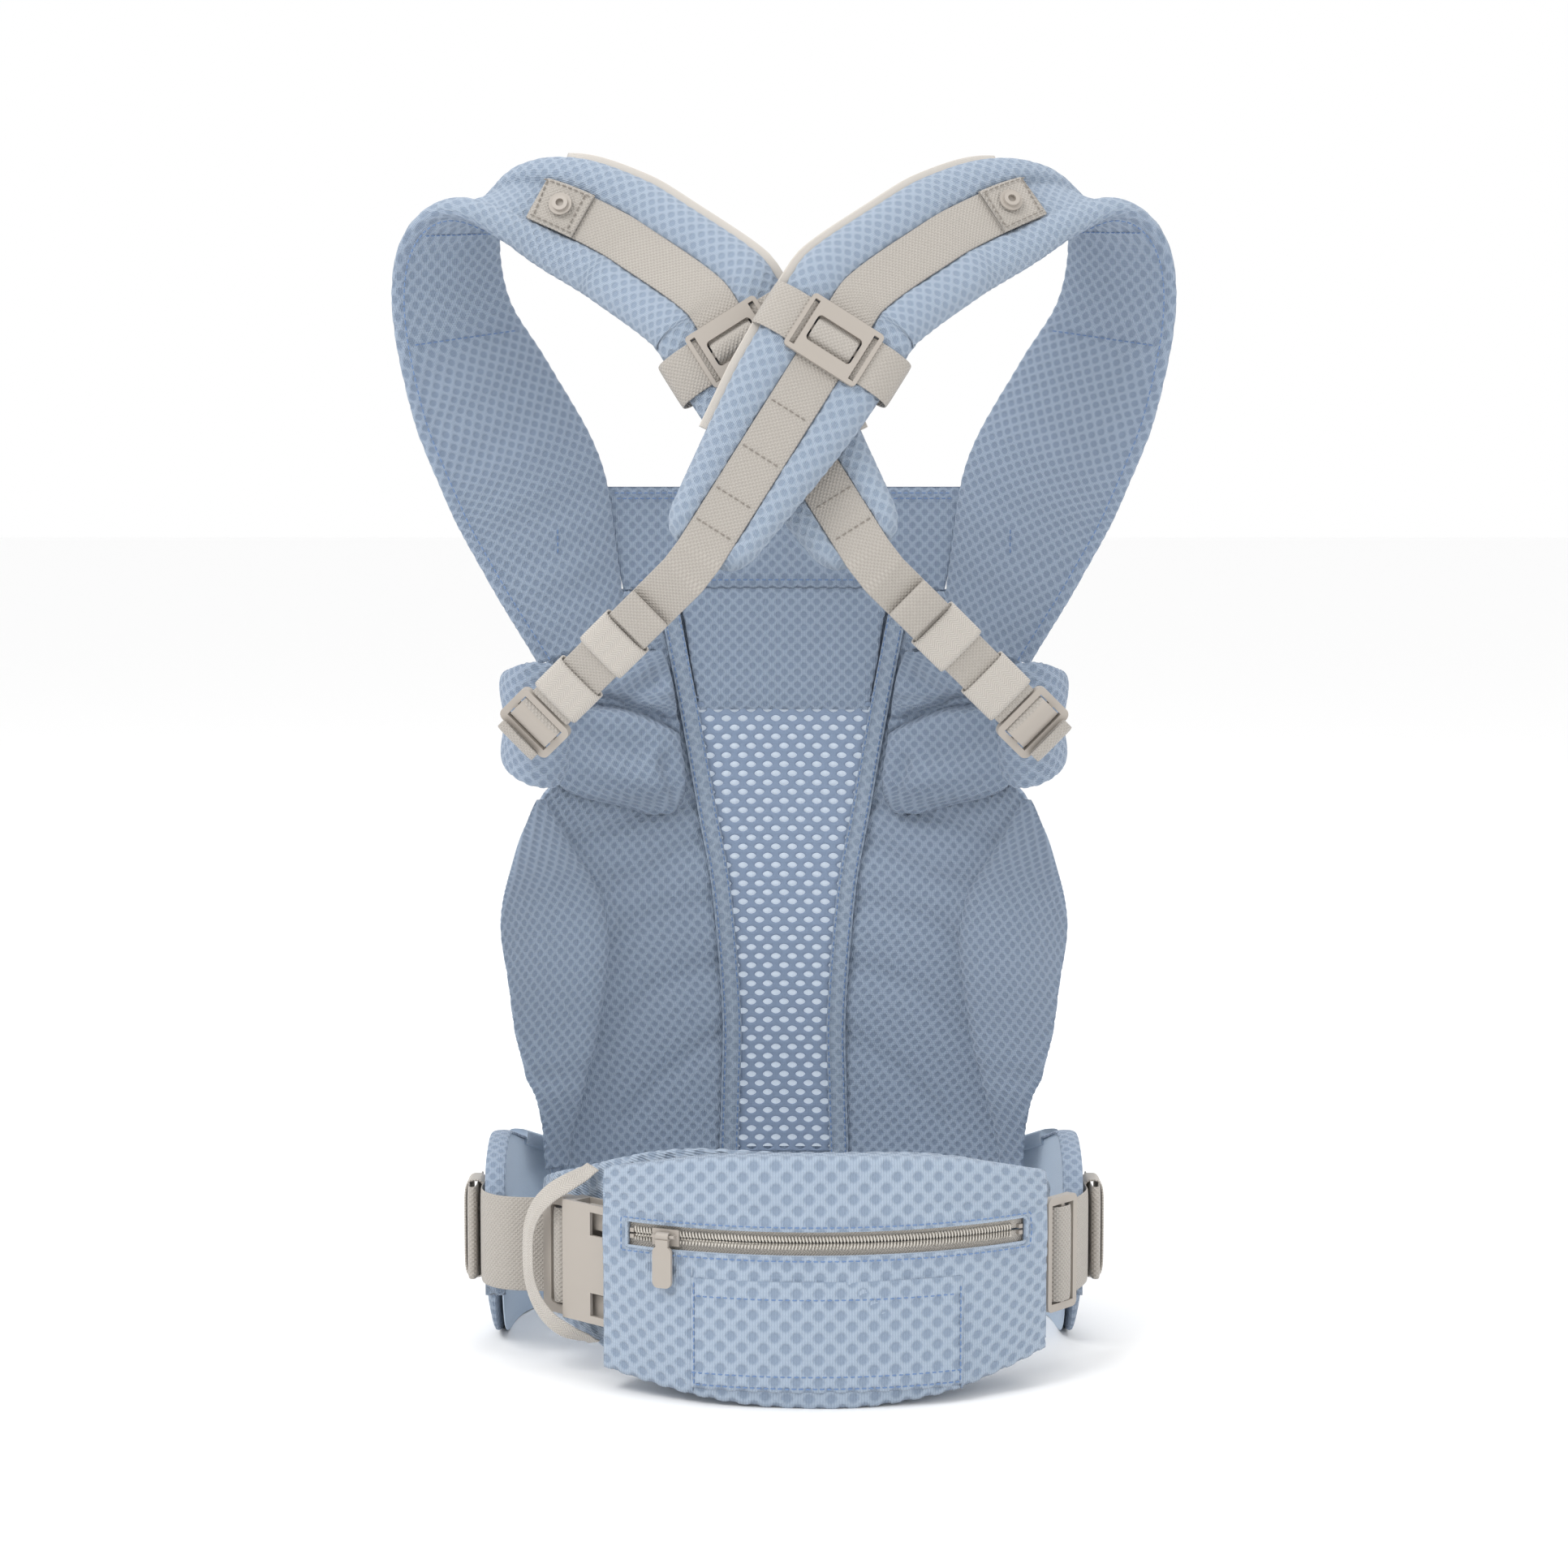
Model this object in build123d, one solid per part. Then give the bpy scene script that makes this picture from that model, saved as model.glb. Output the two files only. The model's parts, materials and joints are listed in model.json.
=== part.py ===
"""Soft structured baby carrier, standing on its waistband with the shoulder straps crossed.

Millimetres. +Z is up, +Y points away from the wearer, the wearer's back is on the -Y side.
The origin is at the middle of the footprint. "right" parts start at the shoulder with x > 0.
"""
from build123d import *

import os
from math import cos, radians, sin, sqrt

# ---------------------------------------------------------------- driving dimensions
Y_SHIFT = 10.65             # moves the drawn layout so that the origin is at the middle of the footprint
FABRIC = 1.6                # webbing thickness
GAP = 0.3                   # air between soft pieces that are only laid or sewn on each other
WAIST_WEB = 50.0            # waist webbing width
STRAP_WEB = 25.0            # shoulder webbing width

# waist ring, a superellipse in plan
RING_POWER = 3.0
RING_OUT = (159.0, 122.0)   # half axes of the outer face
SHELL_T, FOAM_T, LINING_T = 2.5, 5.4, 1.2
WING_END_Y = -28.0
BAND_BACK_TOP, BAND_WING_TOP = 83.0, 108.0

# lumbar pad, belt and pouch lie on circles about one vertical axis
ARC_X, ARC_Y = 15.0, 40.0
PAD_R = (146.0, 157.6)
CENTRE_WEB_R = 158.2
POUCH_R = (178.6, 181.2)
POUCH_ANGLES = (-36.5, 41.5)
PAD_ANGLES = (-72.0, 56.0)
POCKET_ANGLES, POCKET_Z = (-19.5, 24.0), (9.0, 65.0)
ZIP_Z, ZIP_WINDOW = 84.0, 15.0
ZIP_ANGLES = (-31.0, 36.0)
LINING_ANGLES = (-26.4, 37.0)   # the pouch's inner bag, which starts beside the buckle plug
SLIDER_ANGLE = -24.0
SLIDER_PLATE, BAIL_STANDOFF = 1.3, 2.5

# buckle
BUCKLE_ANGLE, BUCKLE_R = -44.0, 167.0
SOCKET_L, SOCKET_H, SOCKET_T, SOCKET_WALL = 62.0, 62.0, 14.0, 1.8
LOOP_W = 12.0                           # elastic loop over the buckle
BELT_Z = 62.0               # height of the belt's middle
ADJUSTER_ANGLE, ADJUSTER_R = 51.0, 165.0

# body panel, an elliptic trough
BODY_A, BODY_B = 156.0, 105.0
BODY_LAYER = 3.7
BODY_FOOT = 86.0

# shoulder straps: neck-side edge and arm-side edge, from the yoke over the shoulder
NECK_EDGE = [(86, 89, 372), (91, 85, 415), (99, 80, 457), (124, 70, 500), (146, 58, 540),
             (154, 47, 572), (152, 34, 597), (140, 19, 614), (120, 3, 623), (97, -12, 625),
             (74, -26, 618), (52, -42, 605)]
ARM_EDGE = [(136, 50, 372), (160, 45, 415), (182, 38, 462), (200, 30, 510), (207, 20, 545),
            (206, 6, 574), (197, -9, 592), (180, -17, 598), (158, -21, 590), (136, -27, 577),
            (112, -38, 563), (98, -49, 554)]
SHOULDER_STATIONS = 28      # sections from the yoke to the start of the straight run
WEBBING_FROM = 8.5          # the webbing's upper end, counted in points of the edges
FLAP_TO = 9.5                # lower end of the webbing's flap, which the snap sits in the middle of
RUN_START, RUN_END = Vector(37, -73, 551), Vector(-43, -104, 424)
RUN_WIDTH_DIR = Vector(0.8425, 0, -0.5313)
RUN_HALF_WIDTHS = [36.0, 36.0, 34.5, 31.0, 27.0, 23.0]
STRAP_T = 11.0
CROSSING_DEPTH = 22.0       # the left strap passes this far behind the right one
SLIDER_AT = 25.0            # distance of the slider from the start of the straight run
LOCK_CENTRE = Vector(-128, -50, 338)
TAIL_ROLL = (100.0, 82.0)   # distances above the lock
KEEPERS_AT = (68.0, 29.0)
KEEPER_L = 22.0
WEB_GAP = 0.8              # air under the shoulder webbing where it lies on the pad
LOCK_L, LOCK_W, LOCK_T = 24.0, 34.0, 4.0
ANCHOR_L = 28.0             # webbing between the lock and the cuff behind it


# ---------------------------------------------------------------- drawing helpers
def closed_face(*edges):
    return Face(Wire(list(edges)))


def spline(points):
    return Edge.make_spline([Vector(*p) for p in points])


def line(p, q):
    return Edge.make_line(Vector(*p), Vector(*q))


def plan_band(inner, outer, z0, z1):
    """Solid between two open plan curves, each a list of (x, y), from z0 to z1."""
    a = [(x, y, z0) for x, y in inner]
    b = [(x, y, z0) for x, y in outer]
    face = closed_face(spline(a), line(a[-1], b[-1]), spline(b[::-1]), line(b[0], a[0]))
    return Solid.extrude(face, Vector(0, 0, z1 - z0))


def ring_curve(inset, y_end, count=41):
    """Plan curve of the waist ring, offset inwards, from one wing end round the back to the other."""
    a, b = RING_OUT[0] - inset, RING_OUT[1] - inset
    start = -abs(y_end / b) ** (RING_POWER / 2)
    points = []
    for i in range(count):
        t = -1 + 2 * i / (count - 1)
        angle = radians(90 * t)
        x = a * (abs(sin(angle)) ** (2 / RING_POWER)) * (1 if angle > 0 else -1)
        y = b * abs(cos(angle)) ** (2 / RING_POWER)
        points.append((x, y))
    wing = [(a * (1 - abs(y / b) ** RING_POWER) ** (1 / RING_POWER), y) for y in (y_end, y_end / 2)]
    return [(-x, y) for x, y in wing] + points + [(x, y) for x, y in wing[::-1]]


def arc_curve(radius, a0, a1, count=15):
    """Plan points on a circle about the belt's axis, angles in degrees from the -Y direction."""
    steps = [radians(a0 + (a1 - a0) * i / (count - 1)) for i in range(count)]
    return [(ARC_X + radius * sin(t), ARC_Y - radius * cos(t)) for t in steps]


def sector(r0, r1, a0, a1, z0, z1):
    """Exact ring sector about the belt's axis."""
    def at(radius, angle):
        t = radians(angle)
        return Vector(ARC_X + radius * sin(t), ARC_Y - radius * cos(t), z0)
    mid = (a0 + a1) / 2
    face = closed_face(
        Edge.make_three_point_arc(at(r0, a0), at(r0, mid), at(r0, a1)),
        Edge.make_line(at(r0, a1), at(r1, a1)),
        Edge.make_three_point_arc(at(r1, a1), at(r1, mid), at(r1, a0)),
        Edge.make_line(at(r1, a0), at(r0, a0)))
    return Solid.extrude(face, Vector(0, 0, z1 - z0))


def trough_curve(k, count=33):
    """Plan curve of the body panel; k is the distance outside its inner face."""
    steps = [radians(-89 + 178 * i / (count - 1)) for i in range(count)]
    return [((BODY_A + k) * sin(t), (BODY_B + k) * cos(t)) for t in steps]


def trough(k0, k1, z0, z1):
    return plan_band(trough_curve(k0), trough_curve(k1), z0, z1)


def front_prism(points, smooth=()):
    """Prism along Y through a closed outline in the XZ plane. Runs named in smooth are splines."""
    y0, depth = -260.0, 520.0
    points = [(x, y0, z) for x, z in points]
    edges, i = [], 0
    runs = dict(smooth)
    while i < len(points):
        j = runs.get(i, i + 1)
        run = points[i:j + 1] if j < len(points) else points[i:] + [points[0]]
        edges.append(spline(run) if len(run) > 2 else line(run[0], run[1]))
        i = j
    return Solid.extrude(closed_face(*edges), Vector(0, depth, 0))


def only_solid(shape):
    """The main solid of a boolean result."""
    return max(shape.solids(), key=lambda s: s.volume)


def common(first, *others):
    """The main solid that all the given solids share."""
    for other in others:
        first = only_solid(first.intersect(other))
    return first


def pad_section(centre, across, out, half_w, half_t, corner):
    """Eight-cornered cross-section of a soft strip."""
    c = min(corner, half_t * 0.8, half_w * 0.8)
    d = min(2.2 * c, half_w * 0.6)
    flat = [(-half_w, -half_t + c), (-half_w, half_t - c), (-half_w + d, half_t), (half_w - d, half_t),
            (half_w, half_t - c), (half_w, -half_t + c), (half_w - d, -half_t), (-half_w + d, -half_t)]
    return Wire.make_polygon([centre + across * w + out * n for w, n in flat], close=True)


def web_section(centre, across, out, half_w, half_t):
    flat = [(-half_w, -half_t), (-half_w, half_t), (half_w, half_t), (half_w, -half_t)]
    return Wire.make_polygon([centre + across * w + out * n for w, n in flat], close=True)


class Frame:
    """A point with its along, across and outward directions."""

    def __init__(self, origin, along, across):
        self.origin = origin
        self.along = along.normalized()
        across = across - self.along * across.dot(self.along)
        self.across = across.normalized()
        self.out = self.along.cross(self.across).normalized()

    def at(self, u, w, n):
        return self.origin + self.along * u + self.across * w + self.out * n

    def moved(self, u, n=0.0):
        return Frame(self.at(u, 0, n), self.along, self.across)

    def block(self, u0, u1, w0, w1, n0, n1):
        corners = [self.at(u0, w0, n0), self.at(u1, w0, n0), self.at(u1, w1, n0), self.at(u0, w1, n0)]
        return Solid.extrude(Face(Wire.make_polygon(corners, close=True)), self.out * (n1 - n0))

    def plate(self, half_l, half_w, n0, n1, radius):
        """Flat block about the frame with its four corners rounded."""
        block = self.block(-half_l, half_l, -half_w, half_w, n0, n1)
        corners = [e for e in block.edges() if abs(e.tangent_at(0.5).dot(self.out)) > 0.99]
        return block.fillet(radius, corners)

    def strip(self, points, thickness, half_length, axis="along"):
        """Thin strip whose centre line is given as (w, n) pairs, or (u, n) when it runs across."""
        left, right = offset_pair(points, thickness / 2)
        if axis == "along":
            place = lambda p: self.at(-half_length, p[0], p[1])
            sweep = self.along * (2 * half_length)
        else:
            place = lambda p: self.at(p[0], -half_length, p[1])
            sweep = self.across * (2 * half_length)
        a, b = [place(p) for p in left], [place(p) for p in right]
        face = Face(Wire([Edge.make_spline(a), Edge.make_line(a[-1], b[-1]),
                          Edge.make_spline(b[::-1]), Edge.make_line(b[0], a[0])]))
        return Solid.extrude(face, sweep)


def offset_pair(points, distance):
    """The two offset curves of an open 2-D line."""
    left, right = [], []
    for i, (x, y) in enumerate(points):
        x0, y0 = points[max(i - 1, 0)]
        x1, y1 = points[min(i + 1, len(points) - 1)]
        dx, dy = x1 - x0, y1 - y0
        size = sqrt(dx * dx + dy * dy)
        left.append((x - dy / size * distance, y + dx / size * distance))
        right.append((x + dy / size * distance, y - dx / size * distance))
    return left, right


def plan_strip(points, thickness, z0, z1):
    """Vertical webbing along a plan line."""
    left, right = offset_pair(points, thickness / 2)
    return plan_band(left, right, z0, z1)


def loft(wires, ruled=False):
    return Solid.make_loft(wires, ruled=ruled)


# ---------------------------------------------------------------- waistband
def band_profile(trim):
    """Side view of the waistband as a prism along X, trimmed all round."""
    y_back, end = RING_OUT[1] + 5, WING_END_Y + trim
    top = [(y_back, BAND_BACK_TOP - trim), (95, BAND_BACK_TOP + 2 - trim), (60, 98 - trim),
           (20, BAND_WING_TOP - trim), (-12, 100 - trim), (end, 84)]
    bottom = [(end, 30), (-8, 10 + trim), (20, trim - 1.0), (y_back, trim - 1.0)]
    x0 = -180
    a, b = [(x0, y, z) for y, z in top], [(x0, y, z) for y, z in bottom]
    face = closed_face(spline(a), line(a[-1], b[0]), spline(b[:3]), line(b[2], b[3]), line(b[3], a[0]))
    return Solid.extrude(face, Vector(360, 0, 0))


def waistband():
    above_floor = Solid.make_box(400, 400, 200, Plane((-200, -200, 0)))
    layers = {}
    inset = 0.0
    for name, thick, trim in (("waistband_shell", SHELL_T, 0), ("waistband_foam", FOAM_T, 4),
                              ("waistband_lining", LINING_T, 0)):
        body = plan_band(ring_curve(inset, WING_END_Y - 6), ring_curve(inset + thick, WING_END_Y - 6), -2, 140)
        layers[name] = common(body, band_profile(trim), above_floor)
        inset += thick + GAP
    return layers


# ---------------------------------------------------------------- lumbar pad and pouch
def lens(trim, widths, top, bottom):
    """Front view of the pad or pouch: a lens with square ends, as a prism along Y."""
    x0, x1 = widths
    middle = (x0 + x1) / 2
    up = [(x0, top[0] - trim), ((x0 + middle) / 2, top[1] - trim - 3), (middle, top[1] - trim),
          ((x1 + middle) / 2, top[1] - trim - 3.5), (x1, top[2] - trim)]
    down = [(x1, bottom[2] + trim), ((x1 + middle) / 2, bottom[1] + trim + 6), (middle, bottom[1] + trim),
            ((x0 + middle) / 2, bottom[1] + trim + 4.5), (x0, bottom[0] + trim)]
    return front_prism(up + down, smooth=((0, 4), (5, 9)))


def lumbar_pad():
    skin, air = 2.0, 0.4
    top, bottom = (92, 124, 98), (26, 0, 30)

    def layer(inset, turn):
        """The pad's outline cut to a sector, both set in from the outer faces."""
        radii = (PAD_R[0] + inset, PAD_R[1] - inset)
        ends = (PAD_ANGLES[0] + turn, PAD_ANGLES[1] - turn)
        outline = lens(inset * 1.5, (-140 + inset * 2, 156 - inset * 2), top, bottom)
        return common(sector(*radii, *ends, 0, 135), outline)

    cover = only_solid(layer(0, 0).cut(layer(skin, 1.5)))
    return {"lumbar_cover": cover, "lumbar_foam": layer(skin + air, 2)}


def pouch():
    wide = (-110, 150)
    top, bottom = (110.5, 127, 107), (17, 0, 26)
    skin = 2.6
    outer = common(sector(PAD_R[1] + GAP, POUCH_R[1], *POUCH_ANGLES, 0, 140), lens(0, wide, top, bottom))
    hollow = common(sector(PAD_R[1] - 2, POUCH_R[0], -60, 60, 0, 140), lens(skin, (-130, 170), top, bottom))
    window = sector(POUCH_R[0] - 2, POUCH_R[1] + 2, *ZIP_ANGLES, ZIP_Z - ZIP_WINDOW / 2, ZIP_Z + ZIP_WINDOW / 2)
    panel = only_solid(outer.cut(hollow).cut(window))
    pocket = sector(POUCH_R[1] + GAP, POUCH_R[1] + GAP + 1.8, *POCKET_ANGLES, *POCKET_Z)
    a0, a1 = LINING_ANGLES
    back, mouth = 168.0, POUCH_R[0] - GAP
    low, high, skin = 22.0, 104.0, 1.0
    lining = sector(back, back + skin, a0, a1, low, high)
    floor = sector(back + skin, mouth, a0, a1, low, low + skin)
    roof = sector(back + skin, mouth, a0, a1, high - skin, high)
    ends = [sector(back + skin, mouth - 1.5, a, a + 0.4, low + skin, high - skin) for a in (a0, a1 - 0.4)]
    bag = only_solid(lining.fuse(floor, roof, *ends))
    return {"pouch_panel": panel, "pouch_pocket": pocket, "pouch_lining": bag}


def zipper():
    tape_r = (POUCH_R[0] + 0.2, POUCH_R[0] + 0.9)
    coil_r = (tape_r[1] + 0.05, tape_r[1] + 2.0)
    z_edge, slit, coil = ZIP_WINDOW / 2 - 0.3, 0.55, 2.6
    a0, a1 = ZIP_ANGLES[0] + 0.15, ZIP_ANGLES[1] - 0.15
    tapes, coils, stops = [], [], []
    for side in (-1, 1):
        low, high = sorted((ZIP_Z + side * slit, ZIP_Z + side * z_edge))
        tapes.append(sector(*tape_r, a0, a1, low, high))
        low, high = sorted((ZIP_Z + side * slit, ZIP_Z + side * coil))
        coils.append(sector(*coil_r, a0 + 1, a1 - 1, low, high))
        stops += [sector(coil_r[0], coil_r[1] + 0.4, a, a + 0.7, low, high) for a in (a0 + 0.2, a1 - 0.9)]
    half = 2.3
    angles = (SLIDER_ANGLE - half, SLIDER_ANGLE + half)
    face_r = coil_r[1] + 0.35
    front = sector(face_r, face_r + SLIDER_PLATE, *angles, ZIP_Z - 4.2, ZIP_Z + 4.2)
    rear = sector(tape_r[0] - 1.5, tape_r[0] - 0.4, *angles, ZIP_Z - 3.6, ZIP_Z + 3.6)
    post = sector(tape_r[0] - 0.5, face_r + 0.1, SLIDER_ANGLE - 0.6, SLIDER_ANGLE + 0.6, ZIP_Z - 0.25, ZIP_Z + 0.25)
    eye = arc_frame(SLIDER_ANGLE, face_r + SLIDER_PLATE + BAIL_STANDOFF, ZIP_Z + 1.0)
    bar = eye.block(-6.0, 6.0, -0.7, 0.7, -0.7, 0.7)
    legs = [eye.block(u, u + 1.2, -0.7, 0.7, -BAIL_STANDOFF - 0.6, 0.0) for u in (-6.0, 4.8)]
    slider = only_solid(front.fuse(rear, post, bar, *legs))
    return {"zip_tape": tapes, "zip_coils": coils, "zip_stops": stops, "zip_slider": slider, "zip_pull": zip_pull(eye)}


def arc_frame(angle, radius, z):
    """Frame on the belt's circle: along the belt, across it (up) and outwards."""
    t = radians(angle)
    origin = Vector(ARC_X + radius * sin(t), ARC_Y - radius * cos(t), z)
    return Frame(origin, Vector(cos(t), sin(t), 0), Vector(0, 0, 1))


def zip_pull(eye):
    """Flat tab that hangs from the slider's bail on a round eye."""
    plane = Plane(eye.at(-3.4, 0, 0), x_dir=eye.across, z_dir=eye.along)
    ring = Solid.make_cylinder(2.15, 6.8, plane)
    hole = Solid.make_cylinder(1.25, 9.0, Plane(eye.at(-4.5, 0, 0), x_dir=eye.across, z_dir=eye.along))
    neck = eye.block(-3.4, 3.4, -5.0, -1.5, 0.2, 2.1)
    tab = eye.block(-5.2, 5.2, -26.0, -4.9, 0.2, 2.1)
    corners = [e for e in tab.edges() if abs(e.tangent_at(0.5).dot(eye.out)) > 0.99]
    tab = tab.fillet(3.2, corners)
    return only_solid(ring.cut(hole).fuse(neck, tab))


# ---------------------------------------------------------------- waist buckle and belt
def socket_frame():
    return arc_frame(BUCKLE_ANGLE, BUCKLE_R, BELT_Z)


def buckle_socket():
    f = socket_frame()
    half_l, half_h, half_t = SOCKET_L / 2, SOCKET_H / 2, SOCKET_T / 2
    body = f.plate(half_l, half_h, -half_t, half_t, 4.5)
    window = f.moved(-18.5).plate(6.5, 26, -half_t - 1, half_t + 1, 2.0)
    cavity = f.block(-4, half_l + 1, -half_h - 1, half_h + 1, -half_t + SOCKET_WALL, half_t - SOCKET_WALL)
    thin_bar = [f.block(-half_l - 1, -12, -half_h - 1, half_h + 1, n, n + 4) for n in (3.2, -7.2)]
    socket = body.cut(window, cavity, *thin_bar)
    thumb_rooms = [f.block(9, half_l + 1, *sorted((side * 15, side * 27)), half_t - SOCKET_WALL - 0.5, half_t + 1)
                   for side in (1, -1)]
    return {"buckle_socket": only_solid(socket.cut(*thumb_rooms))}


def buckle_plug():
    f = socket_frame()
    base = f.block(32, 48, -31, 31, -5, 2)
    window = f.block(37, 44, -26, 26, -8, 8)
    tongue = f.block(2, 33, -8.5, 8.5, -1.6, 1.8)
    plug = only_solid(base.cut(window).fuse(tongue))
    arms = {}
    for name, side in (("buckle_arm_upper", 1), ("buckle_arm_lower", -1)):
        stem = sorted((side * 17.0, side * 21.5))
        head = sorted((side * 17.0, side * 29.5))
        heel = sorted((side * 17.0, side * 21.5))
        arm = f.block(3, 31.6, *stem, -1.2, 2.2).fuse(f.block(2, 15, *head, -1.2, 2.2),
                                                      f.block(28, 31.6, *heel, -1.2, 2.2))
        arms[name] = only_solid(arm)
    return {"buckle_plug": plug, **arms}


def waist_belt():
    f = socket_frame()
    z0, z1 = BELT_Z - WAIST_WEB / 2, BELT_Z + WAIST_WEB / 2

    def plan(frame, pairs):
        return [(frame.at(u, 0, n).X, frame.at(u, 0, n).Y) for u, n in pairs]

    hump = plan(f, [(-42, -6.8), (-38, -6.8), (-32, -6.0), (-27.5, -5.4), (-24.2, -4.0), (-23.0, 0.5), (-21.2, 3.8),
                    (-18.5, 4.8), (-15.8, 3.8), (-14.0, 0.5)])
    # the belt is left open between the wing and the socket, so that the socket can slide off its plug
    wing_left = [(-161.2, 14), (-161.2, 0), (-161.2, -14), (-161.3, -25), (-158.5, -31.5), (-153, -34), (-147.5, -34.5)]
    centre = arc_curve(CENTRE_WEB_R + FABRIC / 2, -26.5, 36.0, 21)
    g = arc_frame(ADJUSTER_ANGLE, ADJUSTER_R, BELT_Z)
    right_end = plan(g, [(-17, -3.6), (-8, -3.8), (0, -4.0), (10, -4.2), (20, -3.4)])
    right = right_end + [(160.6, -26), (161.2, -14), (161.2, 0), (161.2, 14)]
    loop = g.strip([(-8.2, -1.6), (-6.2, 2.2), (-3.5, 3.6), (0, 3.8), (3.5, 3.6), (6.2, 2.2), (8.2, -1.6)],
                   FABRIC, WAIST_WEB / 2, "across")
    return {"waist_webbing_left": plan_strip(hump, FABRIC, z0, z1),
            "waist_webbing_centre": plan_strip(centre, FABRIC, z0, z1),
            "waist_webbing_wings": [plan_strip(wing_left, FABRIC, z0, z1), plan_strip(right, FABRIC, z0, z1), loop]}


def waist_adjuster():
    g = arc_frame(ADJUSTER_ANGLE, ADJUSTER_R, BELT_Z)
    plate = g.plate(13, 30, -2.2, 2.2, 3.5)
    slots = [g.block(u0, u1, -26, 26, -9, 9) for u0, u1 in ((-9.6, -1.4), (1.4, 9.6))]
    return {"waist_adjuster": only_solid(plate.cut(*slots))}


def waist_keepers():
    """Folded belt ends beside the wings, each under an elastic C-shaped keeper."""
    keepers, tails = [], []
    half_h, out = WAIST_WEB / 2 + 1.6, 11.2
    cap = [(-half_h, 0.4), (-half_h - 0.1, out / 2), (-half_h, out - 2.5), (-half_h + 3, out), (0, out + 0.8),
           (half_h - 3, out), (half_h, out - 2.5), (half_h + 0.1, out / 2), (half_h, 0.4)]
    fold = [(3.2, 20), (3.2, 2), (3.6, -14), (5.6, -18.5), (7.6, -14), (8.0, 2), (7.6, 12)]
    for side in (-1, 1):
        f = Frame(Vector(side * 161.2, 1.0, BELT_Z), Vector(0, side, 0), Vector(0, 0, 1))
        keepers.append(f.strip(cap, 1.1, 9.0))
        path = [(side * (161.2 + n), y) for n, y in fold]
        tails.append(plan_strip(path, FABRIC, BELT_Z - WAIST_WEB / 2, BELT_Z + WAIST_WEB / 2))
    return {"waist_keepers": keepers, "waist_tails": tails}


def safety_loop():
    """Elastic loop sewn to the pad above and below the buckle, standing clear of its outer face."""
    upper = [(-99, -74.5, 104.5), (-106, -74, 104.3), (-116, -77, 103), (-126.2, -73.1, 97), (-132.2, -67.1, 86),
             (-133.7, -65.6, 74)]
    lower = [(x, y, 2 * BELT_Z - z) for x, y, z in upper[::-1]]
    path = [Vector(*p) for p in upper + [(-133.7, -65.6, BELT_Z)] + lower]
    wires = []
    for i, p in enumerate(path):
        along = path[min(i + 1, len(path) - 1)] - path[max(i - 1, 0)]
        outwards = Vector(p.X - ARC_X, p.Y - ARC_Y, 0)
        frame = Frame(p, along, outwards.cross(along))
        wires.append(web_section(frame.origin, frame.across, frame.out, LOOP_W / 2, 0.6))
    return {"safety_loop": loft(wires)}


# ---------------------------------------------------------------- body panel
BINDING_X = [(86, 31.5), (120, 30.5), (163, 30), (231, 35.5), (277, 43.5), (336, 54), (394, 65)]
SIDE_EDGE = [(86, 136), (110, 135), (152, 146), (196, 152.5), (231, 153), (262, 148), (284, 139), (300, 131),
             (330, 133), (366, 134)]
PAD_SEAM = [(104, 124), (140, 122), (190, 123), (230, 125), (262, 131), (280, 137)]


def offset_x(points, dx, side):
    return [(side * (x + dx), z) for z, x in points]


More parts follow.
